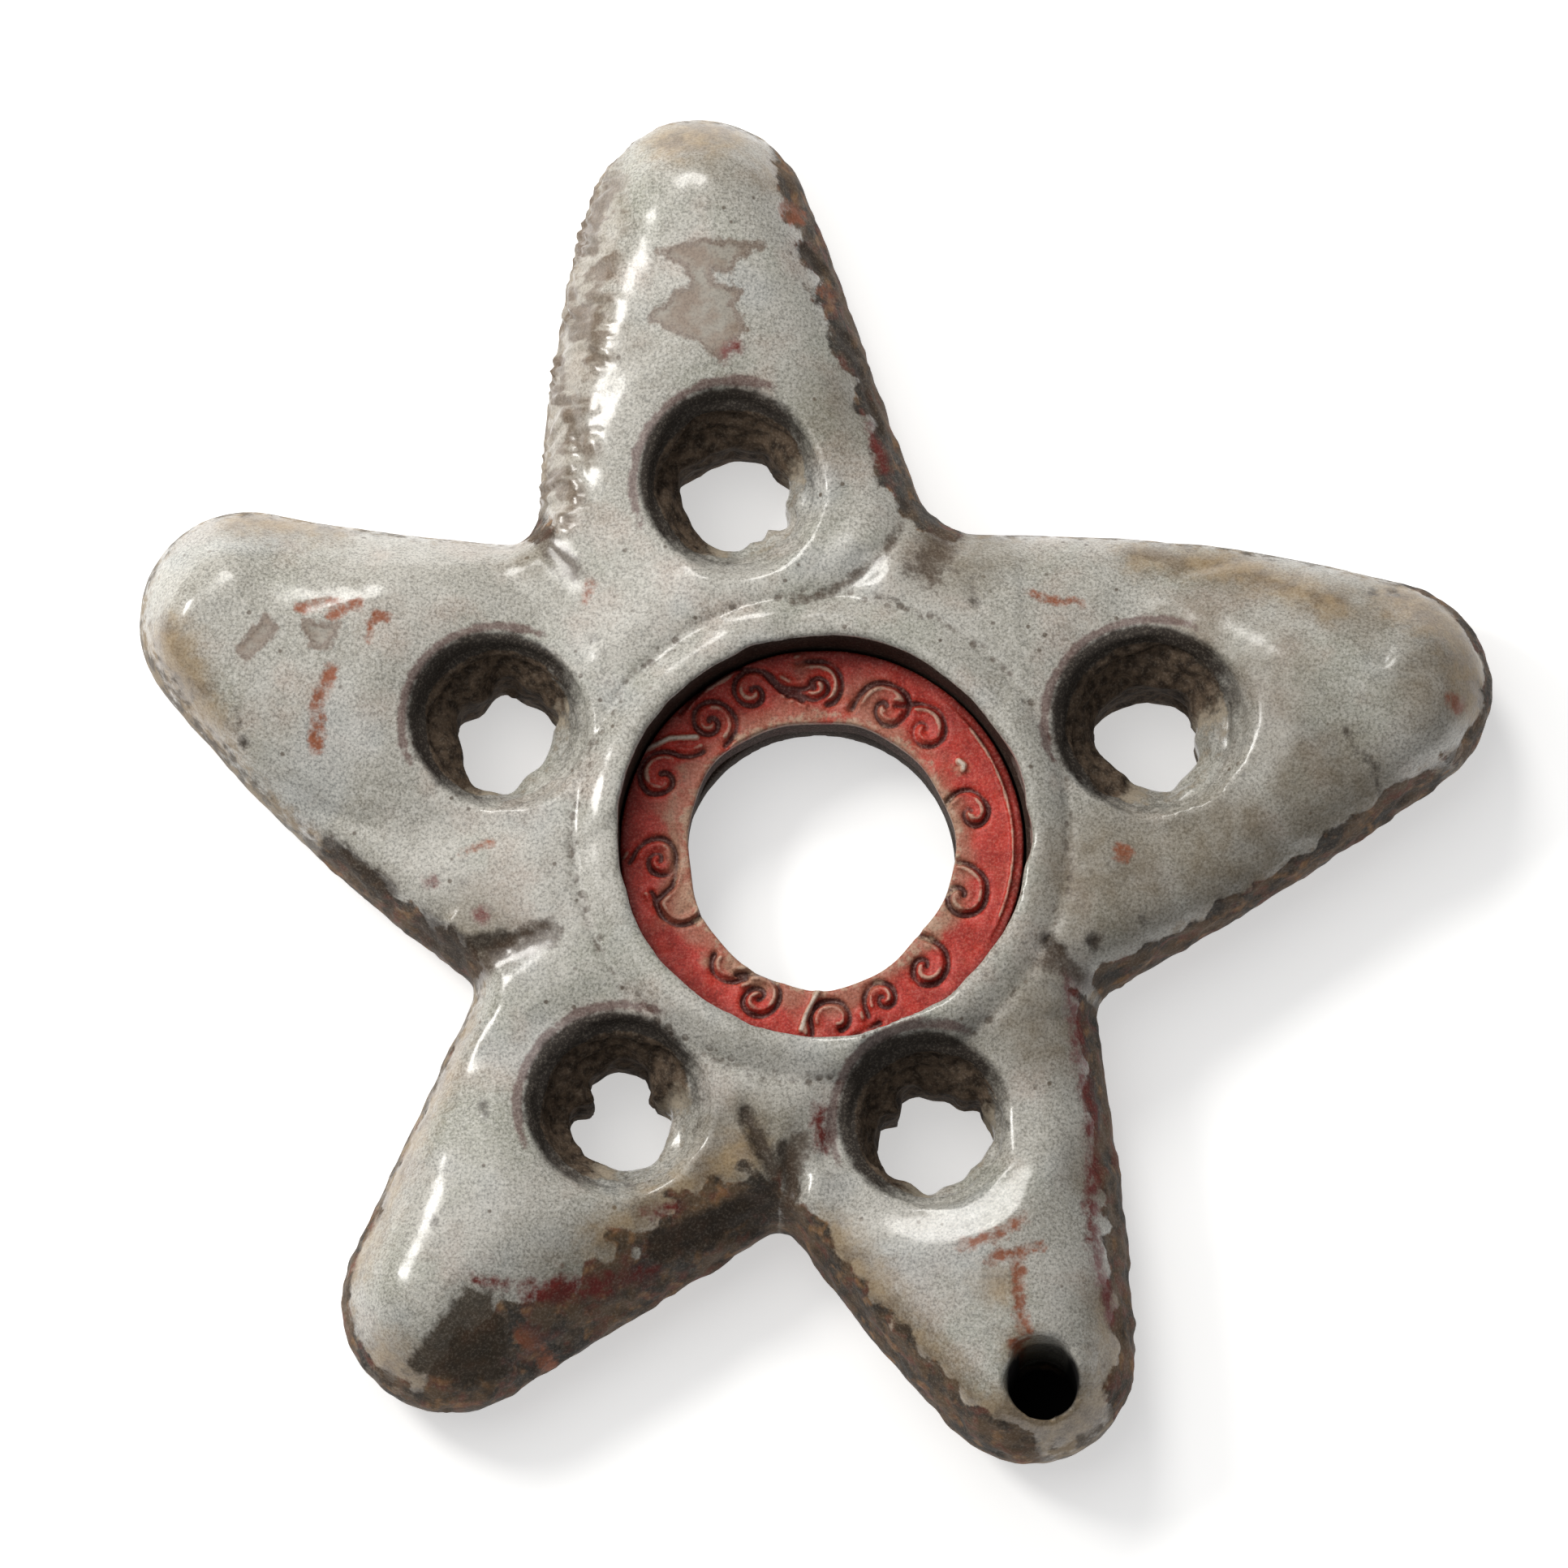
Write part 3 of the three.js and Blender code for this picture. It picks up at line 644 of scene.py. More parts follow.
def body_fields(points, inside):
    """The wear, stain and dirt fields at each vertex, and those for the shade and light painted into the
    hollows and creases.
    """
    plan, z = points[:, :2], points[:, 2]
    upper = ease(z, 1.6, 2.4)
    below = 3.0 * (1 - upper)
    fields = {
        "rust": mark_distance(plan, RUST_MARKS) + below,
        "flaked": patch_distance(plan, FLAKED_PATCHES) + below,
        "shade_patch": patch_distance(plan, SHADE_PATCHES) + below,
        "red": mark_distance(plan, RED_MARKS) + below,
        "dark": mark_distance(plan, DARK_MARKS) + below,
        "tan": mark_distance(plan, TAN_SPOTS) + below,
    }
    worn = np.zeros(len(points))
    for stretch in WORN_EDGES:
        worn = np.maximum(worn, edge_share(plan, inside, stretch))
    fields["worn"] = np.maximum(worn * upper, 1 - ease(z, 1.2, 2.6))

    fields.update(dish_fields(plan, z))

    # Broad brown darkening, most of it on the right and lower right.
    darkened = np.zeros(len(points))
    for x, y, radius, strength in DARKENED_AREAS:
        near = 1 - ease(from_centre(plan, (x, y)), 0.2 * radius, 1.2 * radius)
        darkened = np.maximum(darkened, strength * near)
    fields["darkened"] = darkened

    reach = from_centre(plan, SEAT_CENTRE)
    # The seat's wall and the bore: bare clay, darkened to near-black as painted shade.
    fields["bore"] = (1 - ease(reach, SEAT_RADIUS - 0.05, SEAT_RADIUS + 0.3)) * (1 - ease(z, 6.0, 6.4))
    # Darkening along the rim's groove, the valleys and the creases, deeper where a crease is deeper: dirt and
    # painted shade.
    crease_dirt_and_shade = 0.5 * bell(reach - 9.2, 0.25)
    for start, end, half_width, _ in VALLEYS:
        along = [start, np.array(start) + 0.7 * (np.array(end) - np.array(start))]
        crease_dirt_and_shade = np.maximum(crease_dirt_and_shade, 0.85 * bell(line_distance(plan, along), 0.7 * half_width))
    for half_width, depth, line in CREASES:
        crease_dirt_and_shade = np.maximum(crease_dirt_and_shade, 2.4 * depth * bell(line_distance(plan, line), 0.7 * half_width))
    fields["crease_dirt_and_shade"] = crease_dirt_and_shade * ease(z, 3.0, 4.5)
    fields["pits"] = bell(reach - RIM_GROOVE["reach"], 0.22) * ease(z, 4.5, 5.0)

    # The tip hole's inside, painted near-black as painted shade.
    x, y, radius = TIP_HOLE
    from_hole = from_centre(plan, (x, y))
    fields["tip_hole_shade"] = (1 - ease(from_hole, radius + 0.02, radius + 0.2)) * ease(z, 0.3, 0.8)
    fields["rib"] = edge_share(plan, inside, RIBBED_EDGE) * (1 - ease(z, 5.6, 6.1)) * ease(z, 2.2, 2.8)
    fields["edge"] = inside
    return fields


def dish_fields(plan, z):
    """Bare clay, glaze darkened by dirt and by painted shade on the upper left walls, pale clay and painted
    light on the lower right walls, and the stained lip in and round the dished holes.
    """
    clay = np.zeros(len(plan))
    dish = np.zeros(len(plan))
    lip = np.zeros(len(plan))
    pale = np.zeros(len(plan))
    for arm in ARMS:
        x, y, mouth = arm["dish"]
        offset = plan - (x, y)
        reach = np.hypot(*offset.T)
        # How far each place lies towards the lower right of its hole, on the walls that face the light.
        lit_side = (offset[:, 0] - offset[:, 1]) / np.maximum(reach, 0.1) / math.sqrt(2)
        bare = 1 - ease(reach, mouth - 0.7 - 0.25 * lit_side, mouth - 0.35 - 0.25 * lit_side)
        bare = bare * (1 - ease(z, 5.0, 5.5))
        clay = np.maximum(clay, bare * (1.0 - 0.55 * ease(lit_side, 0.1, 0.8)))
        within = 1 - ease(reach + 0.25 * lit_side, mouth - 0.35, mouth + 0.35)
        # Dark glaze in the dish: dirt, with painted shade making it darkest on the upper left walls, which
        # face away from the light.
        dish = np.maximum(dish, within * (0.62 - 0.38 * lit_side))
        # Pale clay and painted light on the lower right walls, which face the light.
        pale = np.maximum(pale, within * ease(lit_side, -0.1, 0.7))
        lip = np.maximum(lip, bell(reach - mouth - 0.4, 0.22) * ease(-lit_side, 0.1, 0.6))
    return {"clay": clay, "dish": dish, "pale": pale, "lip": lip * ease(z, 4.5, 5.0)}


def roughen_body(piece, points, fields):
    """Moves the vertices: hand-made waviness, crumbled edges, ribs, ragged throats and flaked hollows."""
    normals = vertex_normals(piece)
    x, y, z = points.T
    push = 0.04 * noise(points, 3.2, 3) + 0.022 * noise(points, 1.3, 4) + 0.011 * noise(points, 0.5, 9)
    crumb = noise(points, 0.75, 5) * 0.6 + noise(points, 0.4, 6) * 0.4
    steep = 1 - np.abs(normals[:, 2])
    push += 0.16 * crumb * fields["worn"] * ease(steep, 0.02, 0.5) * ease(z, 0.6, 2.0)
    push += (0.16 * noise(points, 0.8, 7) + 0.14 * crumb) * fields["clay"] * ease(z, 0.4, 1.2)
    wave = np.sin(2 * math.pi * (y + 0.35 * x + 0.9 * noise(points, 1.6, 10)) / RIB_PITCH)
    push += (0.06 * wave * (1 + noise(points, 1.1, 26)) + 0.09 * crumb) * fields["rib"]
    ragged = 0.1 * noise(points, 0.5, 8)
    push -= 0.03 * ease(-(fields["flaked"] + ragged), 0.0, 0.15)
    push -= 0.025 * ease(-(fields["rust"] + ragged), 0.0, 0.15)
    push -= 0.08 * ease(-fields["dark"], 0.0, 0.2)
    ring_side = (from_centre(points[:, :2], SEAT_CENTRE) < SEAT_RADIUS + 0.3) & (z < RING_TOP + 0.4)
    push = np.where(ring_side, np.minimum(push, 0.0) * 0.3, push)
    moved = points + normals * push[:, None]
    moved[:, 2] = np.clip(moved[:, 2], UNDERSIDE, TOP + 0.1)
    move_vertices(piece, moved)


def thin_underside(piece):
    """Fewer faces where little shows: the underside and the seat that the ring covers."""
    group = piece.vertex_groups.new(name="keep")
    points = np.array([vertex.co for vertex in piece.data.vertices]) / MM
    reach = from_centre(points[:, :2], SEAT_CENTRE)
    hidden = (points[:, 2] < 1.6) | ((reach < SEAT_RADIUS + 0.05) & (points[:, 2] < RING_TOP - 0.2))
    group.add(np.nonzero(~hidden)[0].tolist(), 1.0, "REPLACE")
    faces = sum(len(face.vertices) - 2 for face in piece.data.polygons)
    thinner = piece.modifiers.new("thin", "DECIMATE")
    thinner.ratio = min(1.0, FACE_LIMIT / faces)
    thinner.vertex_group = group.name
    thinner.invert_vertex_group = True
    thinner.vertex_group_factor = 1000
    with bpy.context.temp_override(object=piece, active_object=piece, selected_objects=[piece]):
        bpy.ops.object.modifier_apply(modifier=thinner.name)
    piece.vertex_groups.clear()


def make_body(material):
    grid = Grid((cad_box[0][0] / MM - 1, cad_box[0][1] / MM - 1, UNDERSIDE - 0.9),
                (cad_box[1][0] / MM + 1, cad_box[1][1] / MM + 1, TOP + 0.9), *BODY_PITCH)
    outline = Outline()
    points, faces = grid.surface(body_field(grid, outline))
    piece = make_object("glazed_star", points, faces, material)
    inside = grid.sample(outline.measure(grid.plan)[0], points[:, :2])
    fields = body_fields(points, inside)
    roughen_body(piece, points, fields)
    for name, values in fields.items():
        add_attribute(piece, name, values)
    return piece


# ---------- The scroll ring ----------

def scroll_line(x, y, size, start, turn, turns, tail):
    """One scroll's centre line from its eye out, with the direction of its inner side at each point."""
    line = []
    inner = []
    for share in np.linspace(1, 0, 30):
        angle = math.radians(start + turn * share * turns * 360)
        ray = np.array([math.cos(angle), math.sin(angle)])
        line.append(np.array([x, y]) + size * (1 - 0.78 * share * min(turns, 1.2)) * ray)
        inner.append(-ray)
    heading = math.radians(start - turn * 90)
    for step in range(1, 11):
        heading += turn * 0.1 * tail / size
        ahead = np.array([math.cos(heading), math.sin(heading)])
        line.append(line[-1] + 0.1 * tail * ahead)
        inner.append(-turn * np.array([ahead[1], -ahead[0]]))
    return np.array(line), np.array(inner)


def ring_relief(points):
    """Height over the ring's face, how near each place is to a ridge's crest, and how near to a groove."""
    wander = np.stack([noise(points, 0.9, 13), noise(points, 0.9, 14)], 1)
    drawn = points + 0.07 * wander
    groove_reach = np.full(len(points), 9.0)
    ridge_reach = np.full(len(points), 9.0)
    for scroll in SCROLLS:
        line, inner = scroll_line(*scroll)
        groove_reach = np.minimum(groove_reach, line_distance(drawn, line))
        ridge_reach = np.minimum(ridge_reach, line_distance(drawn, line + SCROLL_RIDGE["offset"] * inner))
    for line in LINKS:
        line = np.array(line)
        groove_reach = np.minimum(groove_reach, line_distance(drawn, line))
        ridge_reach = np.minimum(ridge_reach, line_distance(drawn, line + SCROLL_RIDGE["offset"] * LINK_SIDE))
    crest = bell(ridge_reach, SCROLL_RIDGE["half"]) * ease(groove_reach, 0.08, 0.2)
    groove = bell(groove_reach, SCROLL_GROOVE["half"])
    offset = points - SEAT_CENTRE
    reach = np.hypot(*offset.T)
    bearing = np.degrees(np.arctan2(offset[:, 1], offset[:, 0]))
    border = bell(reach - 7.05, 0.07) * ease(bearing, -35, -15) * (1 - ease(bearing, 35, 55))
    uneven = 0.75 + 0.45 * noise(points, 0.7, 15)
    crest = np.maximum(crest * np.clip(uneven, 0.3, 1.1), border)
    groove = groove * np.clip(0.95 + 0.4 * noise(points, 0.6, 16), 0.4, 1.2)
    for line in PALE_RIDGES:
        crest = np.maximum(crest, 1.6 * bell(line_distance(drawn, line), 0.11))
    rise = SCROLL_RIDGE["height"] * np.minimum(crest, 1) - SCROLL_GROOVE["depth"] * groove
    for x, y, size, *_ in SCROLLS:
        rise += 0.1 * bell(line_distance(drawn, [(x, y)]), 0.45 * size)
    rise += 0.05 * noise(points, 1.3, 11) + 0.025 * noise(points, 0.45, 12)
    return rise, crest, groove


def make_ring(material):
    pad = 0.6
    grid = Grid(RING_BOX[0] - pad, RING_BOX[1] + pad, *RING_PITCH)
    rise, crest, groove = ring_relief(grid.plan)
    z = grid.stack(grid.z)
    bore_offset = grid.plan - BORE_CENTRE
    bore_reach = grid.spread(np.hypot(bore_offset[:, 0] * 1.01, bore_offset[:, 1] * 0.985))
    bearing = np.arctan2(bore_offset[:, 1], bore_offset[:, 0])
    uneven = 0.11 * np.sin(3 * bearing + 0.6) + 0.06 * np.sin(5 * bearing + 2.0) + 0.03 * np.sin(11 * bearing)
    field = blend_max(grid.reach(SEAT_CENTRE) - RING_RADIUS, z - grid.spread(RING_TOP + rise), 0.1)
    field = blend_max(field, grid.spread(BORE_RADIUS + 0.02 + uneven) - bore_reach, 0.15)
    field = blend_max(field, RING_BOX[0][2] - z, 0.05)
    points, faces = grid.surface(field)
    piece = make_object("scroll_inlay", points, faces, material)
    plan = points[:, :2]
    upper = ease(points[:, 2], RING_TOP - 0.5, RING_TOP - 0.1)
    bore_side = 1 - ease(from_centre(plan, BORE_CENTRE), BORE_RADIUS + 0.1, BORE_RADIUS + 1.6)
    add_attribute(piece, "crest", grid.sample(crest, plan) * upper)
    add_attribute(piece, "groove", grid.sample(groove, plan) * upper)
    add_attribute(piece, "rubbed", mark_distance(plan, RUBBED))
    add_attribute(piece, "bore_side", bore_side)
    # The ring's outer edge, to be darkened next to the seat's wall as painted shade.
    add_attribute(piece, "seat_edge_shade", ease(from_centre(plan, SEAT_CENTRE), RING_RADIUS - 0.5, RING_RADIUS))
    add_attribute(piece, "upper", upper)
    return piece


# ---------- Materials ----------

class Shader:
    """A material's node tree, built by small calls. Sizes are in millimetres on the object.

    Its colour is built up by covering it with one tint after another. Its bareness, from 0 to 1, is how far a
    place has lost its gloss.
    """

    def __init__(self, name):
        self.material = bpy.data.materials.new(name)
        self.material.use_nodes = True
        self.tree = self.material.node_tree
        self.surface = self.tree.nodes["Principled BSDF"]
        self.place = self.tree.nodes.new("ShaderNodeTexCoord").outputs["Object"]
        self.colour = None
        self.bareness = 0.0

    def link(self, source, socket):
        if isinstance(source, bpy.types.NodeSocket):
            self.tree.links.new(source, socket)
        else:
            socket.default_value = source

    def noise(self, size, detail=2.0, roughness=0.5, stretch=None):
        node = self.tree.nodes.new("ShaderNodeTexNoise")
        node.inputs["Scale"].default_value = 1 / (size * MM)
        node.inputs["Detail"].default_value = detail
        node.inputs["Roughness"].default_value = roughness
        place = self.place
        if stretch:
            mapping = self.tree.nodes.new("ShaderNodeMapping")
            mapping.inputs["Scale"].default_value = stretch
            self.link(place, mapping.inputs["Vector"])
            place = mapping.outputs["Vector"]
        self.link(place, node.inputs["Vector"])
        return node.outputs["Fac"]

    def cells(self, size):
        node = self.tree.nodes.new("ShaderNodeTexVoronoi")
        node.inputs["Scale"].default_value = 1 / (size * MM)
        self.link(self.place, node.inputs["Vector"])
        return node.outputs["Distance"]

    def attribute(self, name):
        node = self.tree.nodes.new("ShaderNodeAttribute")
        node.attribute_name = name
        return node.outputs["Fac"]

    def math(self, operation, a, b=0.0, c=0.0):
        node = self.tree.nodes.new("ShaderNodeMath")
        node.operation = operation
        for value, socket in zip((a, b, c), node.inputs):
            self.link(value, socket)
        return node.outputs["Value"]

    def times(self, a, b):
        return self.math("MULTIPLY", a, b)

    def plus(self, a, b):
        return self.math("ADD", a, b)

    def larger(self, a, b):
        return self.math("MAXIMUM", a, b)

    def centred(self, noise, amount):
        """Noise from 0 to 1 as an amount to either side of 0."""
        return self.times(self.math("SUBTRACT", noise, 0.5), amount)

    def field(self, name, uneven):
        """One of the mesh's fields, with noise added."""
        return self.plus(self.attribute(name), uneven)

    def cover(self, share, tint, strength=1.0, bareness=0.0):
        """Lays a tint over the colour so far, where the share is above 0."""
        self.colour = self.mix(self.times(share, strength), self.colour, tint)
        if bareness:
            self.bareness = self.larger(self.bareness, self.times(share, bareness))

    def wash(self, value, low, high, strength, tint):
        """Lays a tint over the colour, from none where the value is at low to the strength at high."""
        self.cover(self.step(value, low, high, 0.0, strength), tint)

    def step(self, value, low, high, start=0.0, end=1.0):
        """start where the value is below low, end where it is above high, and a smooth step between."""
        node = self.tree.nodes.new("ShaderNodeMapRange")
        node.interpolation_type = "SMOOTHSTEP"
        for number, name in ((low, "From Min"), (high, "From Max"), (start, "To Min"), (end, "To Max")):
            node.inputs[name].default_value = number
        self.link(value, node.inputs["Value"])
        return node.outputs["Result"]

    def mix(self, share, a, b):
        node = self.tree.nodes.new("ShaderNodeMix")
        node.data_type = "RGBA"
        self.link(share, node.inputs["Factor"])
        for colour, name in ((a, "A"), (b, "B")):
            socket = next(s for s in node.inputs if s.name == name and s.type == "RGBA")
            self.link(colour if isinstance(colour, bpy.types.NodeSocket) else (*colour, 1), socket)
        return next(s for s in node.outputs if s.type == "RGBA")

    def bump(self, height, distance, strength=1.0, below=None):
        node = self.tree.nodes.new("ShaderNodeBump")
        node.inputs["Strength"].default_value = strength
        node.inputs["Distance"].default_value = distance * MM
        self.link(height, node.inputs["Height"])
        if below:
            self.link(below, node.inputs["Normal"])
        return node.outputs["Normal"]

    def finish(self, roughness, normal=None, coat=0.0, coat_roughness=0.1):
        self.link(self.colour, self.surface.inputs["Base Color"])
        self.link(roughness, self.surface.inputs["Roughness"])
        if normal:
            self.link(normal, self.surface.inputs["Normal"])
        self.link(coat, self.surface.inputs["Coat Weight"])
        self.surface.inputs["Coat Roughness"].default_value = coat_roughness
        return self.material


class Glaze(Shader):
    """Grey glaze with its stains, its worn and crumbled edges, the bare clay in the holes, and painted shade
    and light in the hollows.
    """

    def __init__(self):
        super().__init__("mottled_grey_glaze")
        self.grit = self.noise(0.1, 2.0, 0.7)
        self.fine = self.noise(0.22, 2.0, 0.6)
        self.medium = self.noise(0.9, 2.0, 0.6)
        self.broad = self.noise(5.0, 2.0, 0.55)
        self.wobble = self.centred(self.noise(0.55, 3.0, 0.7), 1.3)
        self.ragged = self.centred(self.noise(0.45, 3.0, 0.65), 0.75)
        self.pits = self.times(self.attribute("pits"), self.step(self.cells(0.45), 0.42, 0.26))

    def spot(self, name, soft, reach=0.0, uneven=None):
        """Where a mark lies, from the distance to its edge."""
        return self.step(self.field(name, uneven or self.ragged), reach + soft, reach - soft)

    def area(self, name, low, high, uneven=1.0):
        """Where a field is above a level, with a wobbling edge."""
        return self.step(self.field(name, self.times(self.wobble, uneven)), low, high)

    def ground(self):
        """The clean glaze, mottled and speckled."""
        self.colour = self.mix(self.step(self.broad, 0.35, 0.65), (0.36, 0.345, 0.30), (0.47, 0.45, 0.405))
        self.wash(self.noise(4.0, 2.0), 0.48, 0.68, 0.55, (0.32, 0.325, 0.265))
        self.wash(self.noise(2.6, 2.0), 0.5, 0.7, 0.55, (0.42, 0.34, 0.285))
        self.wash(self.noise(3.3, 1.0), 0.52, 0.7, 0.5, (0.40, 0.415, 0.41))
        self.wash(self.medium, 0.5, 0.8, 0.45, (0.22, 0.195, 0.155))
        self.wash(self.fine, 0.35, 0.75, 0.35, (0.58, 0.57, 0.53))
        self.wash(self.grit, 0.5, 0.34, 0.25, (0.9, 0.89, 0.85))
        self.wash(self.grit, 0.5, 0.66, 0.25, (0.03, 0.027, 0.024))
        speckled = self.step(self.noise(2.2, 1.0), 0.45, 0.58)
        self.cover(self.times(self.step(self.cells(0.8), 0.15, 0.07), speckled), (0.08, 0.055, 0.035), 0.8)

    def stains(self):
        """Broad brown darkening, tan tips and edges, and the flaked patches."""
        # Broad brown darkening, most of it on the right and lower right.
        darkened = self.step(self.field("darkened", self.centred(self.broad, 0.5)), 0.05, 0.8)
        darkened = self.times(darkened, self.step(self.medium, 0.2, 0.7, 0.6, 1.0))
        self.cover(darkened, (0.15, 0.11, 0.06), 0.7, 0.7)
        tan = self.mix(self.step(self.medium, 0.35, 0.65), (0.17, 0.105, 0.045), (0.34, 0.235, 0.12))
        self.cover(self.spot("tan", 0.8, 0.0, self.wobble), tan, 0.8)
        edge = self.mix(self.step(self.medium, 0.4, 0.6), (0.06, 0.042, 0.026), (0.25, 0.18, 0.105))
        self.cover(self.spot("edge", 0.3, 0.3, self.wobble), edge, 0.85, 0.7)
        flaked = self.mix(self.step(self.medium, 0.35, 0.65), (0.25, 0.19, 0.145), (0.34, 0.315, 0.27))
        self.cover(self.spot("flaked", 0.1, 0.1), (0.15, 0.095, 0.065), 0.75)
        self.cover(self.spot("flaked", 0.1, -0.12), flaked, 0.9)

    def worn_edges(self):
        """The ribbed stretch of edge, and the stretches crumbled to red-brown clay."""
        ribs = self.attribute("rib")
        streaks = self.step(self.noise(0.8, 2.0, 0.6, (0.5, 1.0, 0.5)), 0.42, 0.56)
        self.cover(ribs, (0.36, 0.31, 0.25), 0.55, 0.3)
        streak_tint = self.mix(self.medium, (0.17, 0.10, 0.06), (0.075, 0.06, 0.036))
        self.cover(self.times(ribs, streaks), streak_tint, 0.8)
        browner = self.step(self.noise(1.3, 3.0, 0.65), 0.38, 0.62)
        reddish = self.step(self.noise(0.9, 2.0, 0.65), 0.5, 0.7, 0.0, 0.6)
        ochre = self.step(self.noise(0.8, 2.0, 0.65), 0.54, 0.72, 0.0, 0.6)
        clay = self.mix(browner, (0.016, 0.010, 0.006), (0.105, 0.06, 0.028))
        clay = self.mix(reddish, clay, (0.16, 0.028, 0.016))
        clay = self.mix(ochre, clay, (0.33, 0.165, 0.06))
        self.cover(self.area("worn", 0.34, 0.66, 0.9), clay, 0.9, 0.8)

    def marks(self):
        """Rust strokes, red patches, dark marks, the patch of painted shade on the lower left tip, and the
        dirt and painted shade in the creases.
        """
        patchy = self.step(self.noise(0.5, 3.0, 0.6), 0.36, 0.58, 0.35, 1.0)
        rust = self.mix(self.medium, (0.36, 0.11, 0.05), (0.15, 0.06, 0.032))
        red = self.mix(self.medium, (0.17, 0.016, 0.012), (0.10, 0.02, 0.014))
        shade_patch = self.mix(self.medium, (0.02, 0.018, 0.012), (0.075, 0.045, 0.024))
        dark = self.mix(self.medium, (0.014, 0.011, 0.008), (0.06, 0.036, 0.02))
        self.cover(self.spot("rust", 0.14), rust, patchy, 0.5)
        self.cover(self.spot("red", 0.22), red, patchy)
        # Painted shade and dark reflection on the lower side of the lower left tip.
        self.cover(self.spot("shade_patch", 0.2), shade_patch, 0.9, 0.9)
        self.cover(self.spot("dark", 0.2), dark, 0.9, 0.5)
        # Dirt and painted shade in the valleys, creases and rim groove.
        self.cover(self.area("crease_dirt_and_shade", 0.35, 0.85), (0.065, 0.04, 0.024), 0.8)
        self.cover(self.pits, (0.10, 0.075, 0.055), 0.85)

    def hollows(self):
        """The dished holes with their painted shade and painted light, the seat and bore walls and the tip
        hole darkened as painted shade, and grit over everything but the last.
        """
        self.cover(self.area("lip", 0.3, 0.8), (0.10, 0.035, 0.03), 0.7)
        # The dish walls' dirt and painted shade, darkest on the upper left.
        self.cover(self.area("dish", 0.15, 0.7, 0.5), (0.022, 0.015, 0.011), 0.96, 0.9)
        clay = self.mix(self.step(self.noise(0.35, 3.0), 0.3, 0.7), (0.03, 0.019, 0.012), (0.13, 0.09, 0.06))
        # Pale clay and painted light on the lower right walls of the dishes.
        pale = self.mix(self.medium, (0.30, 0.24, 0.17), (0.44, 0.39, 0.31))
        clay = self.mix(self.step(self.field("pale", self.wobble), 0.35, 0.9, 0.0, 0.85), clay, pale)
        self.cover(self.area("clay", 0.4, 0.7, 0.6), clay, 1.0, 1.0)
        # The seat and bore walls: bare clay, near-black as painted shade.
        bore = self.mix(self.medium, (0.018, 0.011, 0.008), (0.05, 0.03, 0.02))
        self.cover(self.area("bore", 0.35, 0.6, 0.5), bore, 1.0, 1.0)
        self.wash(self.grit, 0.5, 0.66, 0.22, (0.015, 0.011, 0.008))
        self.wash(self.grit, 0.5, 0.34, 0.1, (0.6, 0.52, 0.42))
        # The tip hole painted near-black as painted shade.
        self.cover(self.attribute("tip_hole_shade"), (0.004, 0.003, 0.003), 1.0, 1.0)

    def relief(self):
        """Fine bumps: rougher on the worn edges and bare clay, with the rim's row of pits."""
        clay = self.larger(self.attribute("worn"), self.attribute("clay"))
        relief = self.times(self.medium, self.step(clay, 0.2, 0.8, 0.018, 0.06))
        for height, amount in ((self.fine, 0.012), (self.grit, 0.004), (self.pits, -0.012)):
            relief = self.math("MULTIPLY_ADD", height, amount, relief)
        return self.bump(relief, 1.0)


def glaze_material():
    glaze = Glaze()
    glaze.ground()
    glaze.stains()
    glaze.worn_edges()
    glaze.marks()
    glaze.hollows()
    glossy = glaze.step(glaze.medium, 0.3, 0.8, 0.27, 0.42)
    roughness = glaze.larger(glossy, glaze.times(glaze.bareness, 0.85))
    roughness = glaze.larger(roughness, glaze.attribute("tip_hole_shade"))
    glaze.surface.inputs["Specular IOR Level"].default_value = 0.25
    return glaze.finish(roughness, glaze.relief(), glaze.step(glaze.bareness, 0.2, 0.8, 0.65, 0.0), 0.17)


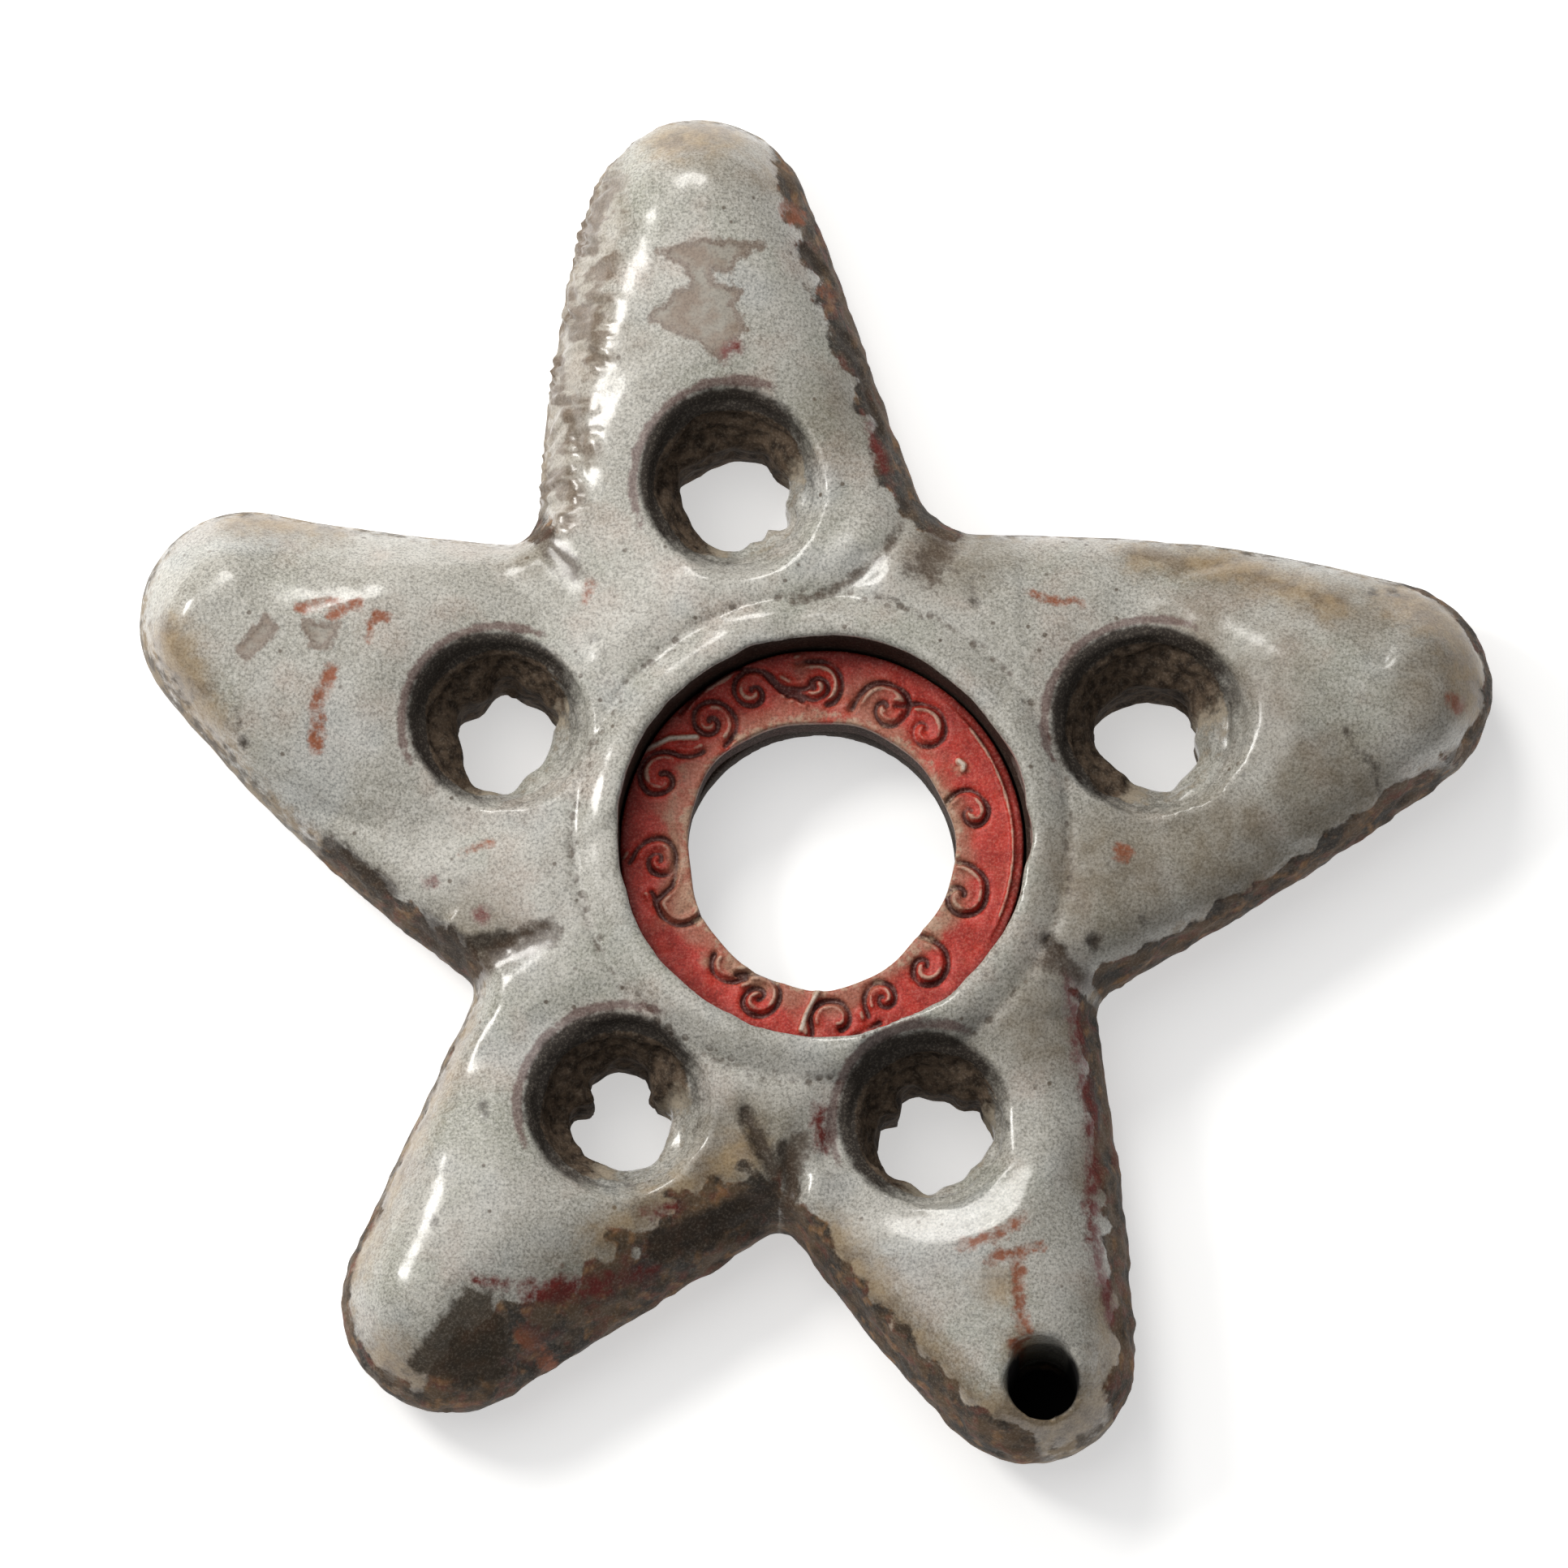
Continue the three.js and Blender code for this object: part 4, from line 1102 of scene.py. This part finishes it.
def slip_material():
    """Red slip, dark in its grooves from dirt and painted shade, with painted shade on its sides and along its
    outer edge, and worn to pale clay on its crests and along the bore.
    """
    s = Shader("worn_red_slip")
    grit = s.noise(0.1, 2.0, 0.7)
    fine = s.noise(0.16, 3.0, 0.6)
    medium = s.noise(0.7, 4.0, 0.6)
    broad = s.noise(2.6, 3.0, 0.55)
    wobble = s.centred(s.noise(0.45, 4.0, 0.65), 1.0)

    s.colour = s.mix(s.step(medium, 0.35, 0.65), (0.56, 0.035, 0.02), (0.40, 0.025, 0.016))
    s.wash(fine, 0.45, 0.75, 0.35, (0.60, 0.12, 0.07))
    worn = s.plus(broad, s.times(s.attribute("bore_side"), 0.24))
    s.wash(worn, 0.5, 0.74, 0.8, (0.36, 0.145, 0.09))
    s.wash(s.field("rubbed", wobble), 0.1, -0.3, 0.6, (0.40, 0.25, 0.16))
    # The scroll grooves darkened: dirt and painted shade.
    s.wash(s.field("groove", s.times(wobble, 0.7)), 0.25, 0.75, 0.9, (0.05, 0.01, 0.008))
    s.wash(s.field("crest", s.times(wobble, 1.3)), 0.4, 0.85, 0.8, (0.58, 0.38, 0.28))
    s.wash(s.attribute("crest"), 1.0, 1.3, 0.9, (0.66, 0.57, 0.48))
    s.wash(s.field("bore_side", wobble), 0.9, 1.1, 0.8, (0.48, 0.33, 0.23))
    # The ring's side walls, in the bore and against the seat, near-black as painted shade.
    side = s.step(s.attribute("upper"), 0.2, 0.8, 0.95, 0.0)
    s.cover(side, (0.035, 0.022, 0.017))
    # The ring's outer edge darkened next to the seat's wall as painted shade.
    s.cover(s.attribute("seat_edge_shade"), (0.10, 0.01, 0.008), 0.6)
    s.wash(grit, 0.5, 0.66, 0.35, (0.03, 0.01, 0.01))
    s.wash(grit, 0.5, 0.34, 0.12, (0.9, 0.6, 0.5))

    roughness = s.larger(s.step(medium, 0.3, 0.7, 0.45, 0.65), s.times(side, 0.95))
    normal = s.bump(fine, 0.03, 0.5)
    normal = s.bump(medium, 0.1, 0.5, normal)
    s.surface.inputs["Specular IOR Level"].default_value = 0.4
    return s.finish(roughness, normal)


# ---------- Floor, light and camera ----------

def make_floor():
    bpy.ops.mesh.primitive_plane_add(size=1.2, location=(0, 0, cad_box[0][2] - 0.00002))
    floor = bpy.context.active_object
    floor.name = "floor"
    s = Shader("pale_floor")
    s.colour = s.mix(s.noise(9.0, 1.0), (0.86, 0.86, 0.855), (0.9, 0.9, 0.895))
    s.surface.inputs["Emission Color"].default_value = (1, 1, 1, 1)
    s.surface.inputs["Emission Strength"].default_value = 0.5
    floor.data.materials.append(s.finish(0.8))


def add_light(name, bearing, elevation, distance, size, power, tint):
    middle = (Vector(cad_box[0]) + Vector(cad_box[1])) / 2
    target = Vector((middle.x, middle.y, LIGHT_TARGET_HEIGHT))
    flat, high = math.cos(math.radians(elevation)), math.sin(math.radians(elevation))
    angle = math.radians(bearing)
    direction = Vector((math.cos(angle) * flat, math.sin(angle) * flat, high))
    data = bpy.data.lights.new(name, "AREA")
    data.shape = "DISK"
    data.size = size
    data.energy = power
    data.color = tint
    light = bpy.data.objects.new(name, data)
    light.location = target + direction * distance
    light.rotation_euler = direction.to_track_quat("Z", "Y").to_euler()
    bpy.context.scene.collection.objects.link(light)


def make_light():
    for name, settings in LIGHTS.items():
        add_light(name, *settings)
    world = bpy.data.worlds.new("studio")
    world.use_nodes = True
    world.node_tree.nodes["Background"].inputs["Color"].default_value = (0.97, 0.98, 1.0, 1)
    world.node_tree.nodes["Background"].inputs["Strength"].default_value = 0.2
    bpy.context.scene.world = world


def make_camera():
    """A long lens, a little off straight above."""
    tilt = math.radians(CAMERA_TILT)
    data = bpy.data.cameras.new("camera")
    data.lens = 500
    data.sensor_width = 36
    distance = data.lens / data.sensor_width * VIEW_WIDTH * MM
    target = Vector(CAMERA_TARGET) * MM
    camera = bpy.data.objects.new("camera", data)
    camera.location = target + distance * Vector((0, -math.sin(tilt), math.cos(tilt)))
    camera.rotation_euler = (tilt, 0, 0)
    bpy.context.scene.collection.objects.link(camera)
    bpy.context.scene.camera = camera


bpy.context.scene.view_settings.view_transform = "Standard"
make_camera()
make_light()
make_floor()

star = make_body(glaze_material())
thin_underside(star)
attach(star, "root")
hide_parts("star_body")

ring = make_ring(slip_material())
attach(ring, "root")
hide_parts("scroll_ring")
